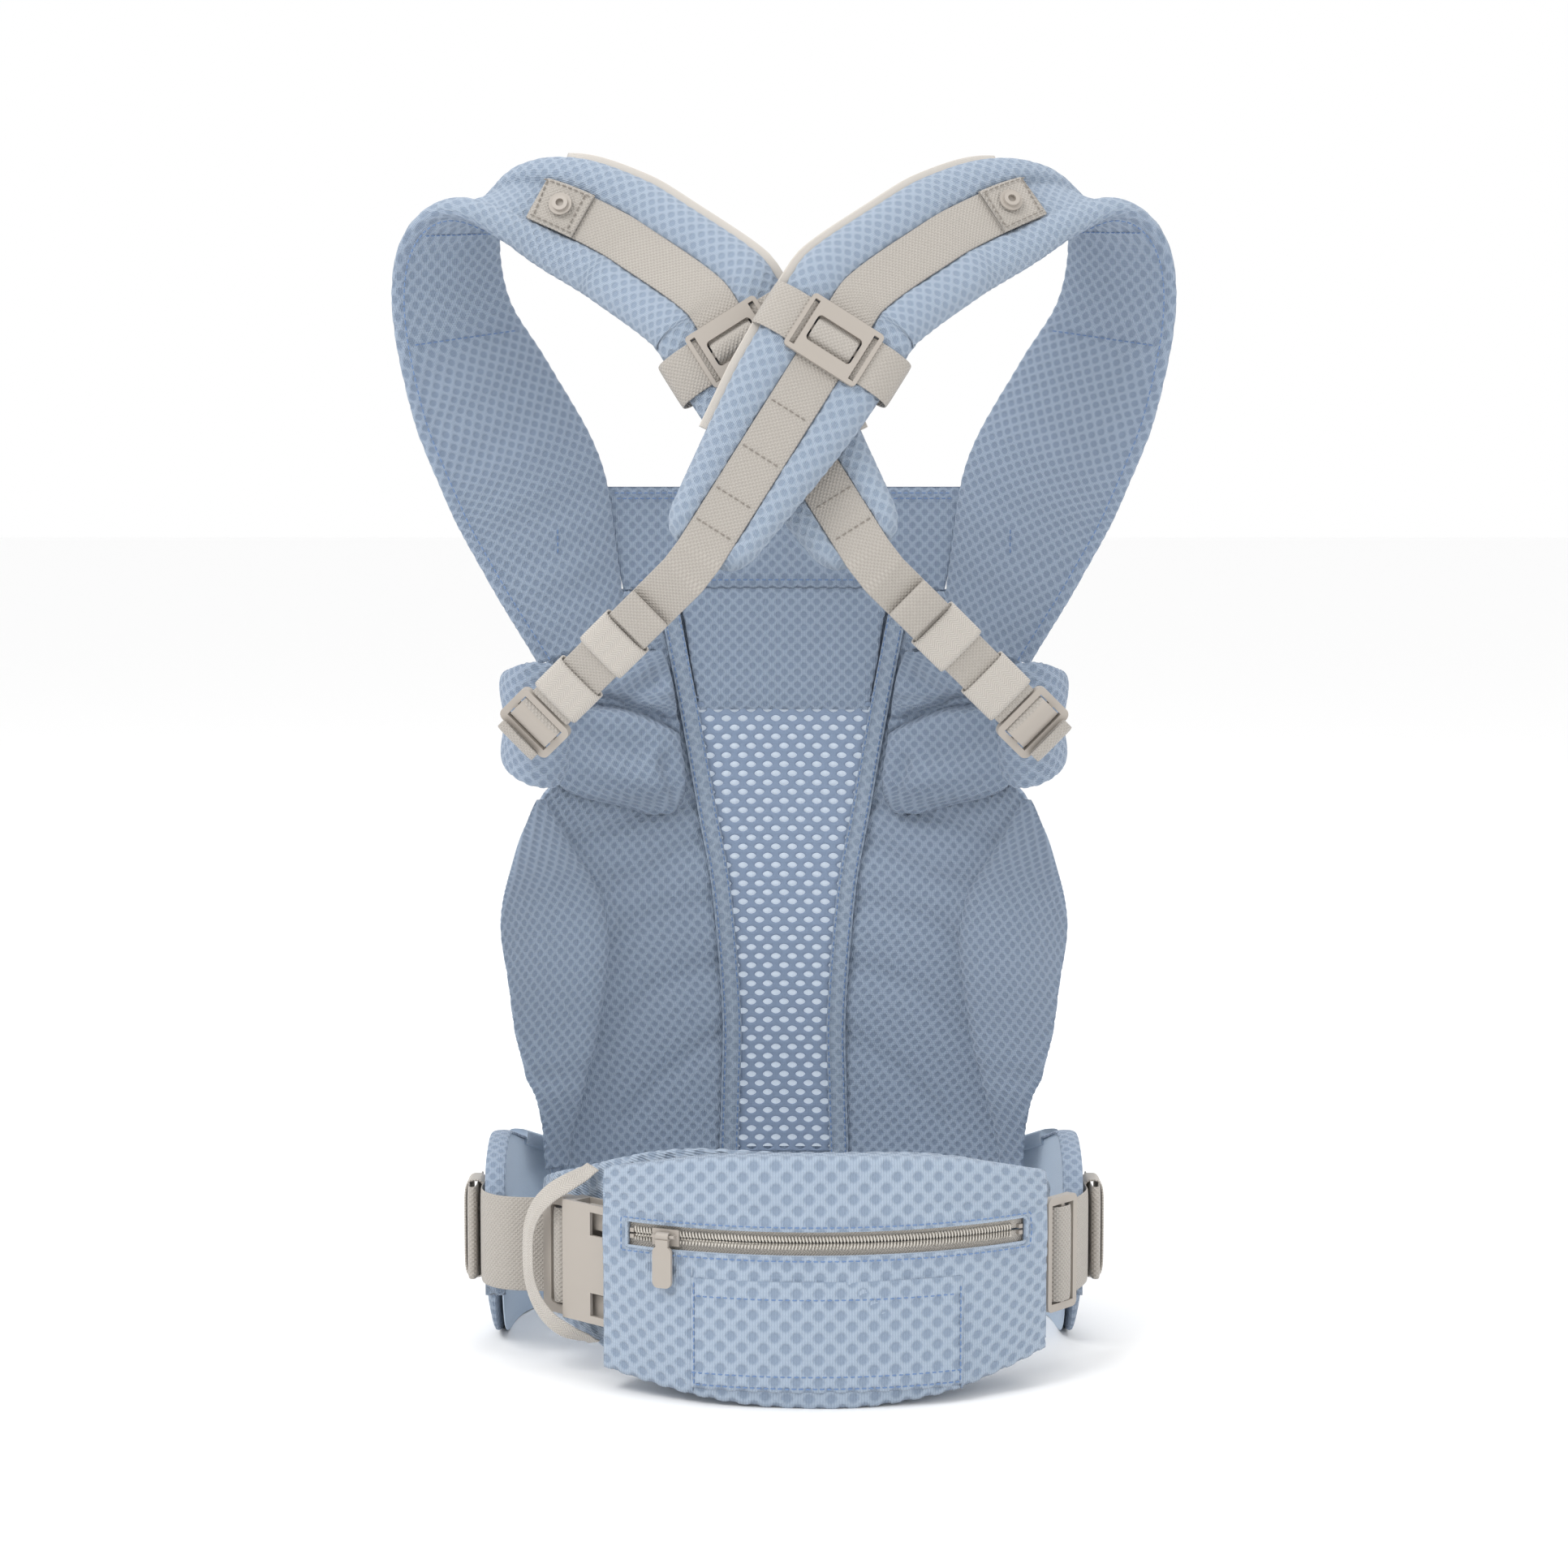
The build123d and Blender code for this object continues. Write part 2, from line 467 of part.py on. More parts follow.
def body_panel():
    half = 5.6
    made = {}
    inner_edge = [(z, x) for z, x in BINDING_X]
    strips = []
    for side, name in ((-1, "left"), (1, "right")):
        a, b = offset_x(inner_edge, -half, side), offset_x(inner_edge, half, side)
        outline = a + b[::-1]
        n = len(a)
        prism = front_prism(outline, smooth=((0, n - 1), (n, 2 * n - 1)))
        strips.append(common(trough(-1.2, BODY_LAYER, BODY_FOOT - 2, 400), prism))
        a = offset_x(inner_edge[:6], half + GAP, side)
        seam = offset_x(PAD_SEAM, 0, side)
        top = [(side * 66.4, 362), (side * 84, 364), (side * 131, 364)]
        outer = [(side * x, z) for z, x in SIDE_EDGE[7:-1]][::-1]
        low = [(side * 136, 86.2)]
        outline = a + top + outer + seam[::-1] + low
        prism = front_prism(outline, smooth=((0, 5),))
        made["seat_panel_" + name] = common(trough(0, BODY_LAYER, BODY_FOOT, 372), prism)
        edge = [(side * x, z) for z, x in SIDE_EDGE[1:7]]
        seam_out = [(side * (x + 0.4), z) for z, x in PAD_SEAM]
        outline = seam_out + edge[::-1]
        m, k = len(seam_out), len(edge)
        prism = front_prism(outline, smooth=((m, m + k - 1),))
        made["leg_pad_" + name] = common(trough(-4.5, BODY_LAYER, BODY_FOOT, 300), prism)
        wing = [(side * 62, 368), (side * 56, 330), (side * 52, 292), (side * 70, 286), (side * 104, 292),
                (side * 128, 303), (side * 130, 340), (side * 112, 364), (side * 88, 366)]
        prism = front_prism(wing)
        made["side_wing_" + name] = common(trough(-14, -1.6, 280, 370), prism)
        made["wing_cuff_" + name] = wing_cuff(side)
    made["panel_bindings"] = strips
    a = offset_x(inner_edge[:6], -half - GAP, 1)
    b = offset_x(inner_edge[:6], -half - GAP, -1)
    n = len(a)
    prism = front_prism(a + b[::-1], smooth=((0, n - 1), (n, 2 * n - 1)))
    made["mesh_window"] = common(trough(0.6, 2.6, BODY_FOOT, 333), prism)
    rest = [(47.2, 333.5), (58.4, 394.6), (76, 394.6), (78, 400.8), (-78, 400.8), (-76, 394.6), (-58.4, 394.6),
            (-47.2, 333.5)]
    made["head_rest"] = common(trough(0, BODY_LAYER, 333, 401), front_prism(rest))
    flap = [(80, 402.2), (84, 415), (91.5, 455), (88, 459), (-88, 459), (-91.5, 455), (-84, 415), (-80, 402.2)]
    made["head_support"] = common(trough(-0.6, 5.0, 402, 460), front_prism(flap))
    back = [(116, 86.4), (126, 150), (128, 210), (118, 270), (104, 320), (84, 366), (78, 394)]
    outline = back + [(-x, z) for x, z in back[::-1]]
    n = len(back)
    prism = front_prism(outline, smooth=((0, n - 1), (n, 2 * n - 1)))
    made["outer_panel"] = common(trough(BODY_LAYER + GAP, BODY_LAYER + 2.6, BODY_FOOT, 400), prism)
    return made


def wing_cuff(side):
    """Folded padded edge that the ladder lock's webbing comes out of."""
    cx, cy = side * 133.0, 16.0
    pairs = [(cx + side * 2.6, cy + 25.2)]      # the end that is sewn to the wing
    for i in range(13):
        t = radians(-62 + 218 * i / 12)
        pairs.append((cx + side * 15.0 * cos(t), cy - 24.0 * sin(t)))
    body = plan_strip(pairs, 5.0, 296, 372)
    profile = [(side * 90, 306), (side * 128, 300), (side * 150, 312), (side * 158, 330), (side * 158, 348),
               (side * 146, 364), (side * 124, 369), (side * 90, 366)]
    return common(body, front_prism(profile))


# ---------------------------------------------------------------- shoulder straps
def run_frame():
    return Frame(RUN_START, RUN_END - RUN_START, RUN_WIDTH_DIR)


def edge_curve(points, along):
    """Smooth edge through the given points; its parameter counts the points."""
    points = [Vector(*p) for p in points]
    first = (points[1] - points[0]).normalized()
    return Edge.make_spline(points, tangents=[first, along], parameters=list(range(len(points))))


def strap_sections(lift):
    """List of (frame, half width, place) along the padded strap. lift moves the front part back."""
    run = run_frame()
    run_length = (RUN_END - RUN_START).length
    last = len(NECK_EDGE)
    half = RUN_HALF_WIDTHS[0]
    neck = edge_curve(NECK_EDGE + [tuple(run.at(0, -half, 0))], run.along)
    arm = edge_curve(ARM_EDGE + [tuple(run.at(0, half, 0))], run.along)

    def edges(place):
        late = max(0.0, (place - 7) / (last - 7))
        shift = Vector(0, lift * late * late * (3 - 2 * late), 0)
        return [c.position_at(place / last) + shift for c in (neck, arm)]

    sections = []
    for i in range(SHOULDER_STATIONS):
        place = last * i / SHOULDER_STATIONS
        (a, b), (a0, b0), (a1, b1) = edges(place), edges(max(place - 0.2, 0)), edges(place + 0.2)
        sections.append((Frame((a + b) * 0.5, (a1 + b1) - (a0 + b0), b - a), (b - a).length / 2, place))
    steps = len(RUN_HALF_WIDTHS) - 1
    for i, half in enumerate(RUN_HALF_WIDTHS):
        centre = run.at(run_length * i / steps, 0, 0) + Vector(0, lift, 0)
        sections.append((Frame(centre, run.along, run.across), half, last + i))
    return sections


def inset_ends(sections, length):
    """The same sections with the two end ones moved inwards along the strap."""
    first, last = sections[0], sections[-1]
    moved = list(sections)
    moved[0] = (first[0].moved(length), *first[1:])
    moved[-1] = (last[0].moved(-length), *last[1:])
    return moved


def strap_pad(sections, inset, ends):
    chosen = inset_ends(sections, ends) if ends else sections
    return loft([pad_section(f.origin, f.across, f.out, half - inset, STRAP_T / 2 - inset, 3.4 - inset * 0.6)
                 for f, half, _ in chosen], ruled=True)


def on_pad(frame, height):
    return frame.moved(0, STRAP_T / 2 + height)


def lower_frame(lift):
    """Frame of the straight webbing below the pad; its origin is the upper end."""
    run = run_frame()
    run_length = (RUN_END - RUN_START).length
    start = run.at(run_length + 8, 0, STRAP_T / 2 + WEB_GAP + FABRIC / 2) + Vector(0, lift, 0)
    return Frame(start, LOCK_CENTRE - start, Vector(0.703, 0, -0.711))


def strap(side_name, lift, mirrored):
    """All pieces of one shoulder strap, drawn for the right shoulder and mirrored for the left."""
    sections = strap_sections(lift)
    made = {}
    cover = strap_pad(sections, 0.0, 0.0)
    made["strap_cover"] = only_solid(cover.cut(strap_pad(sections, 1.8, 4.0)))
    made["strap_foam"] = strap_pad(sections, 2.4, 5.0)
    half, thick = STRAP_WEB / 2, FABRIC / 2
    low = lower_frame(lift)
    reach = (LOCK_CENTRE - low.origin).length
    lay = WEB_GAP + thick
    frames = [on_pad(f, lay) for f, _, place in sections if place >= WEBBING_FROM]
    lower_steps = 6
    frames += [low.moved(6 + (reach - LOCK_L / 2 - 8) * i / lower_steps) for i in range(lower_steps + 1)]
    made["strap_webbing"] = loft([web_section(f.origin, f.across, f.out, half, thick) for f in frames], ruled=True)
    flap = [on_pad(f, lay + FABRIC + 0.4) for f, _, place in sections if WEBBING_FROM <= place <= FLAP_TO]
    middle = flap[len(flap) // 2]
    made["strap_flap"] = loft([web_section(f.origin, f.across, f.out, half - 0.4, thick) for f in flap], ruled=True)
    made["snap"] = snap_socket(middle.moved(0, thick + 0.25))
    made["strap_piping"] = strap_piping(sections)
    slide = sections[SHOULDER_STATIONS][0].moved(SLIDER_AT)
    made["slider_frame"], made["slider_band"] = strap_slider(on_pad(slide, 0))
    tail_n = FABRIC + 0.6
    roll_from, roll_to = [reach - d for d in TAIL_ROLL]
    tail = low.block(roll_to - 1, reach - LOCK_L / 2 - 2, -half, half, tail_n - thick, tail_n + thick)
    roll = low.block(roll_from, roll_to, -half, half, tail_n - thick, tail_n - thick + 4.4)
    made["strap_tail"] = only_solid(tail.fuse(roll))
    for name, d in zip(("keeper_upper", "keeper_lower"), KEEPERS_AT):
        made[name] = keeper(low.moved(reach - d))
    lock = low.moved(reach)
    made["ladder_lock"], made["lock_anchor"] = ladder_lock(lock)
    named = {}
    for name, shapes in made.items():
        shapes = shapes if isinstance(shapes, list) else [shapes]
        if mirrored:
            shapes = [s.mirror(Plane.YZ) for s in shapes]
        named[name + "_" + side_name] = shapes
    return named


def snap_socket(f):
    """Round snap half: a disc, a raised ring and the hole that a stud presses into."""
    plane = Plane(f.origin, x_dir=f.along, z_dir=f.out)
    disc = Solid.make_cylinder(6.0, 0.9, plane)
    ring = Solid.make_cylinder(4.1, 2.6, plane)
    hole = Solid.make_cylinder(2.1, 2.4, Plane(f.at(0, 0, 0.6), x_dir=f.along, z_dir=f.out))
    return only_solid(disc.fuse(ring).cut(hole))


def strap_piping(sections):
    wires = []
    for f, half, place in sections:
        if not 9 <= place <= 15:
            continue
        origin = f.at(0, -half - 2.4, 0)
        wires.append(web_section(origin, f.across, f.out, 1.8, 1.5))
    return loft(wires, ruled=True)


def strap_slider(f):
    """Adjuster plate over the webbing, and the band that ties it round the pad. f lies on the pad's face."""
    bottom, thick = WEB_GAP + FABRIC + 0.8, 3.0
    plate = f.plate(15.5, 21, bottom, bottom + thick, 2.4)
    window = f.plate(7.3, 13, 0, 12, 2.2)
    slots = [f.block(-13, 13, w, w + 2.8, 0, 12) for w in (-18.8, 16.0)]
    notches = [f.block(u, u + 2.6, w, w + 4.6, 0, 12) for u in (-15.6, 13.0) for w in (-16.2, 11.6)]
    bar = f.block(-1.6, 1.6, -13.2, 13.2, bottom, bottom + 1.4)
    frame = only_solid(plate.cut(window, *slots).fuse(bar))
    low, side, corner = -STRAP_T - 1.6, 43.6, 41.2
    half_round = [(22.2, 4.2), (24.5, 1.9), (32, 1.4), (corner, -0.4), (side, -5.5), (corner, -11.0), (32, low),
                  (18, low), (0, low)]
    round_pad = half_round + [(-w, n) for w, n in half_round[-2::-1]]
    band = f.strip(round_pad, 1.2, 12.4)
    top = bottom + thick
    hump = f.strip([(-6.0, bottom + 0.3), (-4.4, top - 0.6), (-2.0, top + 0.5), (0, top + 0.8), (2.0, top + 0.5),
                    (4.4, top - 0.6), (6.0, bottom + 0.3)], 1.4, 12.0, "across")
    return frame, [band, hump]


def keeper(f):
    """Elastic ring round the webbing and its tail."""
    half_w = STRAP_WEB / 2 + 1.0
    outer = f.block(-KEEPER_L / 2, KEEPER_L / 2, -half_w - 1.1, half_w + 1.1, -2.7, 4.9)
    inner = f.block(-KEEPER_L, KEEPER_L, -half_w, half_w, -1.6, 3.8)
    return only_solid(outer.cut(inner))


def ladder_lock(f):
    """Three-bar lock with the webbing wound through it, and the anchor webbing that ties it to the cuff."""
    half_l, half_w, half_t = LOCK_L / 2, LOCK_W / 2, LOCK_T / 2
    plate = f.plate(half_l, half_w, -half_t + 1.4, half_t + 1.4, 4.0)
    slots = [f.block(u0, u1, -13.2, 13.2, -9, 9) for u0, u1 in ((-8.4, -1.6), (1.4, 7.6))]
    lock = only_solid(plate.cut(*slots))
    turn = f.strip([(-7.6, -0.2), (-6.2, 3.2), (-4.0, 4.9), (0, 5.2), (3.2, 4.6), (5.2, 3.0), (6.6, 0.2)],
                   1.4, 12.4, "across")
    to_cuff = [(17.6 + d * f.along.Y, -2.4 + d * f.out.Y) for d in (ANCHOR_L, 19, 9)]
    anchor = f.strip(to_cuff + [(17.9, -0.8), (18.2, 2.0), (15.6, 5.4), (14.0, 6.2)], 1.4, 12.0, "across")
    return [lock, turn], anchor


# ---------------------------------------------------------------- build and export
def build():
    parts = {}
    for made in (waistband(), lumbar_pad(), pouch(), zipper(), buckle_socket(), buckle_plug(), waist_belt(),
                 waist_adjuster(), waist_keepers(), safety_loop(), body_panel()):
        parts.update(made)
    parts.update(strap("right", 0.0, False))
    parts.update(strap("left", CROSSING_DEPTH, True))
    for single, pair in (("snap", "snap_sockets"), ("strap_piping", "strap_piping"), ("strap_flap", "strap_flaps"),
                         ("lock_anchor", "lock_anchors"), ("strap_foam", "strap_foam")):
        parts[pair] = parts.pop(single + "_right") + parts.pop(single + "_left")
    return parts


def main():
    os.makedirs("parts", exist_ok=True)
    for name, shapes in build().items():
        shapes = shapes if isinstance(shapes, list) else [shapes]
        moved = [s.moved(Location((0, Y_SHIFT, 0))) for s in shapes]
        shape = moved[0] if len(moved) == 1 else Compound(children=moved)
        export_step(shape, f"parts/{name}.step")


main()
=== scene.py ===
"""Soft baby carrier: cloth, padding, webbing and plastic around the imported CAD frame.

Places are in millimetres, in the CAD model's own layout. layout() turns them into metres in the shared frame.
"""
import json
from math import cos, pi, radians, sin

import bpy
import numpy as np
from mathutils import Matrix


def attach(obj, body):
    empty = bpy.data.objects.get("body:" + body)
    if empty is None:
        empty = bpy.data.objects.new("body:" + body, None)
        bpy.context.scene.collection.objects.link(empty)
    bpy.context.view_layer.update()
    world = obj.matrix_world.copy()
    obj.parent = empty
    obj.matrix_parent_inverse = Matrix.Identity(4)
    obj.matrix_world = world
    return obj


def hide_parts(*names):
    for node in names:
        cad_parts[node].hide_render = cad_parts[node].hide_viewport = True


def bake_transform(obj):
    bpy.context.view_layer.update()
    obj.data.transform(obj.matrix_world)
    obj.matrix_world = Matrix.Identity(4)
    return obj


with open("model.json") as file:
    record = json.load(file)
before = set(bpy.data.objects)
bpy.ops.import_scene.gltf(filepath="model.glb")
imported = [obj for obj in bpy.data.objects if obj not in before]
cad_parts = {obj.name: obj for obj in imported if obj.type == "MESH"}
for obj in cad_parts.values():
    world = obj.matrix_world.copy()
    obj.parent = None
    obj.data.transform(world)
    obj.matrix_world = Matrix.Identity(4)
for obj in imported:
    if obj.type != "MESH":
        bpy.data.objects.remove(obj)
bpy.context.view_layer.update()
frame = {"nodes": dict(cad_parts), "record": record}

# ---------------------------------------------------------------- shared sizes, in millimetres
Y_SHIFT = 10.65
FINE = 1.25      # spacing of the cloth grids
BODY_A, BODY_B = 156.0, 105.0
ARC_X, ARC_Y = 15.0, 40.0
PAD_R, POUCH_R = (146.0, 157.6), 181.2
RING_OUT, RING_POWER = (159.0, 122.0), 3.0
WAIST_WEB, STRAP_WEB, WEB_T = 50.0, 25.0, 1.6
WING_X = 161.2      # where the belt webbing lies on the waistband's sides
BELT_Z, BELT_R = 62.0, 159.0
ZIP_Z, ZIP_WINDOW, ZIP_ANGLES = 84.0, 15.0, (-31.0, 36.0)
BUCKLE_ANGLE, BUCKLE_R = -44.0, 167.0
ADJUSTER_ANGLE, ADJUSTER_R = 51.0, 165.0
STRAP_T, WEB_GAP = 11.0, 0.8
# Spacer mesh: width and half height of one dimple's cell, and how deep the dimple is.
DIMPLES = {"mesh": (7.2, 3.6, 0.42), "mesh_soft": (7.2, 3.6, 0.34), "mesh_wide": (11.0, 5.6, 0.55)}

NECK_EDGE = [(86, 89, 372), (91, 85, 415), (99, 80, 457), (124, 70, 500), (146, 58, 540),
             (154, 47, 572), (152, 34, 597), (140, 19, 614), (120, 3, 623), (97, -12, 625),
             (74, -26, 618), (52, -42, 605)]
ARM_EDGE = [(136, 50, 372), (160, 45, 415), (182, 38, 462), (200, 30, 510), (207, 20, 545),
            (206, 6, 574), (197, -9, 592), (180, -17, 598), (158, -21, 590), (136, -27, 577),
            (112, -38, 563), (98, -49, 554)]
RUN_START, RUN_END = np.array([37.0, -73, 551]), np.array([-43.0, -104, 424])
RUN_ACROSS = np.array([0.8425, 0, -0.5313])
RUN_HALF_WIDTHS = [36.0, 36.0, 34.5, 31.0, 27.0, 23.0]
LOCK_CENTRE = np.array([-128.0, -50, 338])
LOW_ACROSS = np.array([0.703, 0, -0.711])
TAIL_ROLL, KEEPERS_AT, KEEPER_L, LOCK_L = (100.0, 82.0), (68.0, 29.0), 22.0, 24.0
SLIDER_AT, WEBBING_FROM, FLAP_TO = 25.0, 8.5, 9.55
BINDING_X = [(86, 31.5), (120, 30.5), (163, 30), (231, 35.5), (277, 43.5), (336, 54), (394, 65)]
SIDE_EDGE = [(80, 134), (110, 137), (152, 147), (196, 153.5), (231, 154.5), (262, 149), (284, 140),
             (300, 132), (330, 134), (366, 134), (376, 124), (388, 106), (402, 97)]
LIFTS = {"right": 0.0, "left": 22.0}    # how far each strap lies in front of the crossing
SIDES = ("left", "right")
SEAT_Z, NET_Z, BACKING_Z = (72, 401), (82, 337), (84, 338)
# How far each layer of the seat lies outside the seat's inner face.
LAYER = {"binding": -1.4, "net": 1.3, "seat": 1.6, "backing": 4.4, "outer": 6.2}
FOLD, FOLD_FROM, FOLD_TO = "fold", 0.084, 0.125     # heights in metres between which the seat bends


# ---------------------------------------------------------------- small geometry tools
def layout(points):
    """Millimetres in the CAD model's layout to metres in the shared frame."""
    out = np.array(points, float)
    out[..., 1] += Y_SHIFT
    return out * 0.001


def unit(v):
    return v / np.maximum(np.linalg.norm(v, axis=-1, keepdims=True), 1e-9)


def curve(points, count):
    """Catmull-Rom curve through the points, evenly spaced in the points' own numbering."""
    p = np.array(points, float)
    p = np.vstack([2 * p[0] - p[1], p, 2 * p[-1] - p[-2]])
    t = np.linspace(0, len(p) - 3 - 1e-6, count)
    i = t.astype(int)
    f = (t - i)[:, None]
    a, b, c, d = p[i], p[i + 1], p[i + 2], p[i + 3]
    return 0.5 * (2 * b + (c - a) * f + (2 * a - 5 * b + 4 * c - d) * f**2 + (3 * b - a - 3 * c + d) * f**3)


def around(count):
    """Evenly spaced angles of one full turn."""
    return np.linspace(0, 2 * pi, count, endpoint=False)


def powered(wave, power):
    """Sine or cosine made squarer by a power below 1, with its sign kept."""
    return np.sign(wave) * np.abs(wave) ** power


def capped(x):
    """x held between 0 and 1."""
    return np.clip(x, 0, 1)


def lookup(pairs, z):
    """Smooth value at z from (z, value) pairs."""
    fine = curve(pairs, 200)
    return np.interp(z, fine[:, 0], fine[:, 1])


def travelled(p):
    """Length along a line up to each of its points."""
    return np.concatenate([[0], np.cumsum(np.linalg.norm(np.diff(p, axis=0), axis=1))])


def even(points, step):
    """The same line with evenly spaced points."""
    p = np.array(points, float)
    s = travelled(p)
    t = np.linspace(0, s[-1], max(int(s[-1] / step), 2) + 1)
    return np.stack([np.interp(t, s, p[:, k]) for k in range(p.shape[1])], 1)


def cloth_uv(P, closed=False):
    """UVs in metres: along the rows by true length, across them by the true width from the middle."""
    Q = np.concatenate([P, P[:, :1]], 1) if closed else P
    steps = np.linalg.norm(np.diff(Q, axis=1), axis=2)
    across = np.concatenate([np.zeros((len(Q), 1)), np.cumsum(steps, 1)], 1)
    across -= across[:, [Q.shape[1] // 2]]
    along = travelled(Q[:, Q.shape[1] // 2])
    return np.stack([across, np.repeat(along[:, None], Q.shape[1], 1)], -1) * 0.001


def normals(P):
    du = np.gradient(P, axis=1)
    dv = np.gradient(P, axis=0)
    return unit(np.cross(du, dv))


def dimples(uv, kind="mesh"):
    """1 in the middle of each dimple of the spacer mesh, 0 on the ridges between them."""
    wide, row, _ = DIMPLES[kind]
    wave = np.abs(np.cos(uv[..., 0] * 2000 * pi / wide) + np.cos(uv[..., 1] * 1000 * pi / row))
    return capped((wave - 0.5) / 0.8)


def make_object(name, verts, faces, uvs, material):
    """Mesh object from vertices in millimetres, faces and one UV per face corner."""
    mesh = bpy.data.meshes.new(name)
    mesh.from_pydata(layout(verts).tolist(), [], faces)
    layer = mesh.uv_layers.new(name="cloth")
    layer.data.foreach_set("uv", np.asarray(uvs, np.float32).ravel())
    mesh.shade_smooth()
    mesh.materials.append(MATERIALS[material])
    obj = bpy.data.objects.new(name, mesh)
    bpy.context.scene.collection.objects.link(obj)
    return obj


def grid(name, P, material, closed=False, caps=False, uv=None, keep=None):
    """Mesh from an (n, m, 3) array; closed joins the last column to the first, keep picks the faces."""
    n, m = P.shape[:2]
    uv = cloth_uv(P, closed) if uv is None else uv
    i, j = np.meshgrid(np.arange(n - 1), np.arange(m if closed else m - 1), indexing="ij")
    k = (j + 1) % m
    quads = np.stack([i * m + j, i * m + k, (i + 1) * m + k, (i + 1) * m + j], -1)
    corners = np.stack([uv[i, j], uv[i, j + 1], uv[i + 1, j + 1], uv[i + 1, j]], 2)
    if keep is not None:
        quads, corners = quads[keep], corners[keep]
    quads, corners = quads.reshape(-1, 4), corners.reshape(-1, 4, 2)
    flat = P.reshape(-1, 3)
    if closed:
        a, b, c = (flat[quads[:, q]] for q in (0, 1, 2))
        if np.einsum("ij,ij->i", a, np.cross(b, c)).sum() < 0:
            quads, corners = quads[:, ::-1], corners[:, ::-1]
    faces, uvs = quads.tolist(), corners.reshape(-1, 2)
    if caps:
        ends = [list(range(m)), [(n - 1) * m + q for q in range(m)][::-1]]
        faces += ends
        uvs = np.concatenate([uvs, uv[0, :m], uv[-1, :m][::-1]])
    return make_object(name, flat, faces, uvs, material)


def sunk(P, uv, kind, closed=False, mask=1.0):
    """Sinks the dimples of the mesh cloth into a surface; a closed one wraps round."""
    if kind not in DIMPLES:
        return P
    Q = np.concatenate([P, P[:, :1]], 1) if closed else P
    n = normals(Q)
    if closed and np.einsum("ijk,ijk->", n, Q - Q.mean(1, keepdims=True)) < 0:
        n = -n
    Q = Q - n * (dimples(uv, kind) * mask * DIMPLES[kind][2])[..., None]
    return Q[:, :-1] if closed else Q


def thick(obj, mm):
    """Gives a sheet its thickness, half to each side."""
    mod = obj.modifiers.new("thickness", "SOLIDIFY")
    mod.thickness, mod.offset = mm * 0.001, 0.0
    return obj


def place(obj, body, slot, *nodes):
    """Puts a piece on its body; one on FOLD is only baked in place and doesn't bend over the waistband with
    the seat panel.
    """
    if body == FOLD:
        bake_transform(obj)
    else:
        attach(obj, body)
    if nodes:
        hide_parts(*nodes)
    return obj


def first(chosen_one, node):
    """Where one node stands for both sides, only the chosen side's piece replaces it."""
    return [node] if chosen_one else []


def sewn(P=None, size=None):
    """Width and length of a cloth that its seams hold flat, or its given size in mm; nothing further is done
    with them.
    """
    if size is None:
        size = [np.linalg.norm(np.diff(P, axis=k), axis=2).sum(k).max() for k in (1, 0)]


def mirrored(P, side):
    """Layouts are drawn for the right side; the left one is their mirror image."""
    return P if side == "right" else P * np.array([-1, 1, 1])


def flip(frames, side):
    return [mirrored(x, side) for x in frames]


def sheet(name, P, kind, mm, body, *nodes, uv=None, keep=None):
    """Sewn cloth of one thickness."""
    obj = thick(grid(name, P, kind, uv=uv, keep=keep), mm)
    place(obj, body, "mesh_fabric", *nodes)
    sewn(P)


def pad(name, P, kind, body, nodes, side="right", slot="mesh_fabric", mask=1.0):
    """Closed padded piece, drawn for the right side, with the dimples of its cloth."""
    uv = cloth_uv(P, True)
    P = sunk(P, uv, kind, closed=True, mask=mask)
    obj = grid(name, mirrored(P, side), kind, closed=True, caps=True, uv=uv)
    place(obj, body, slot, *nodes)
    return obj


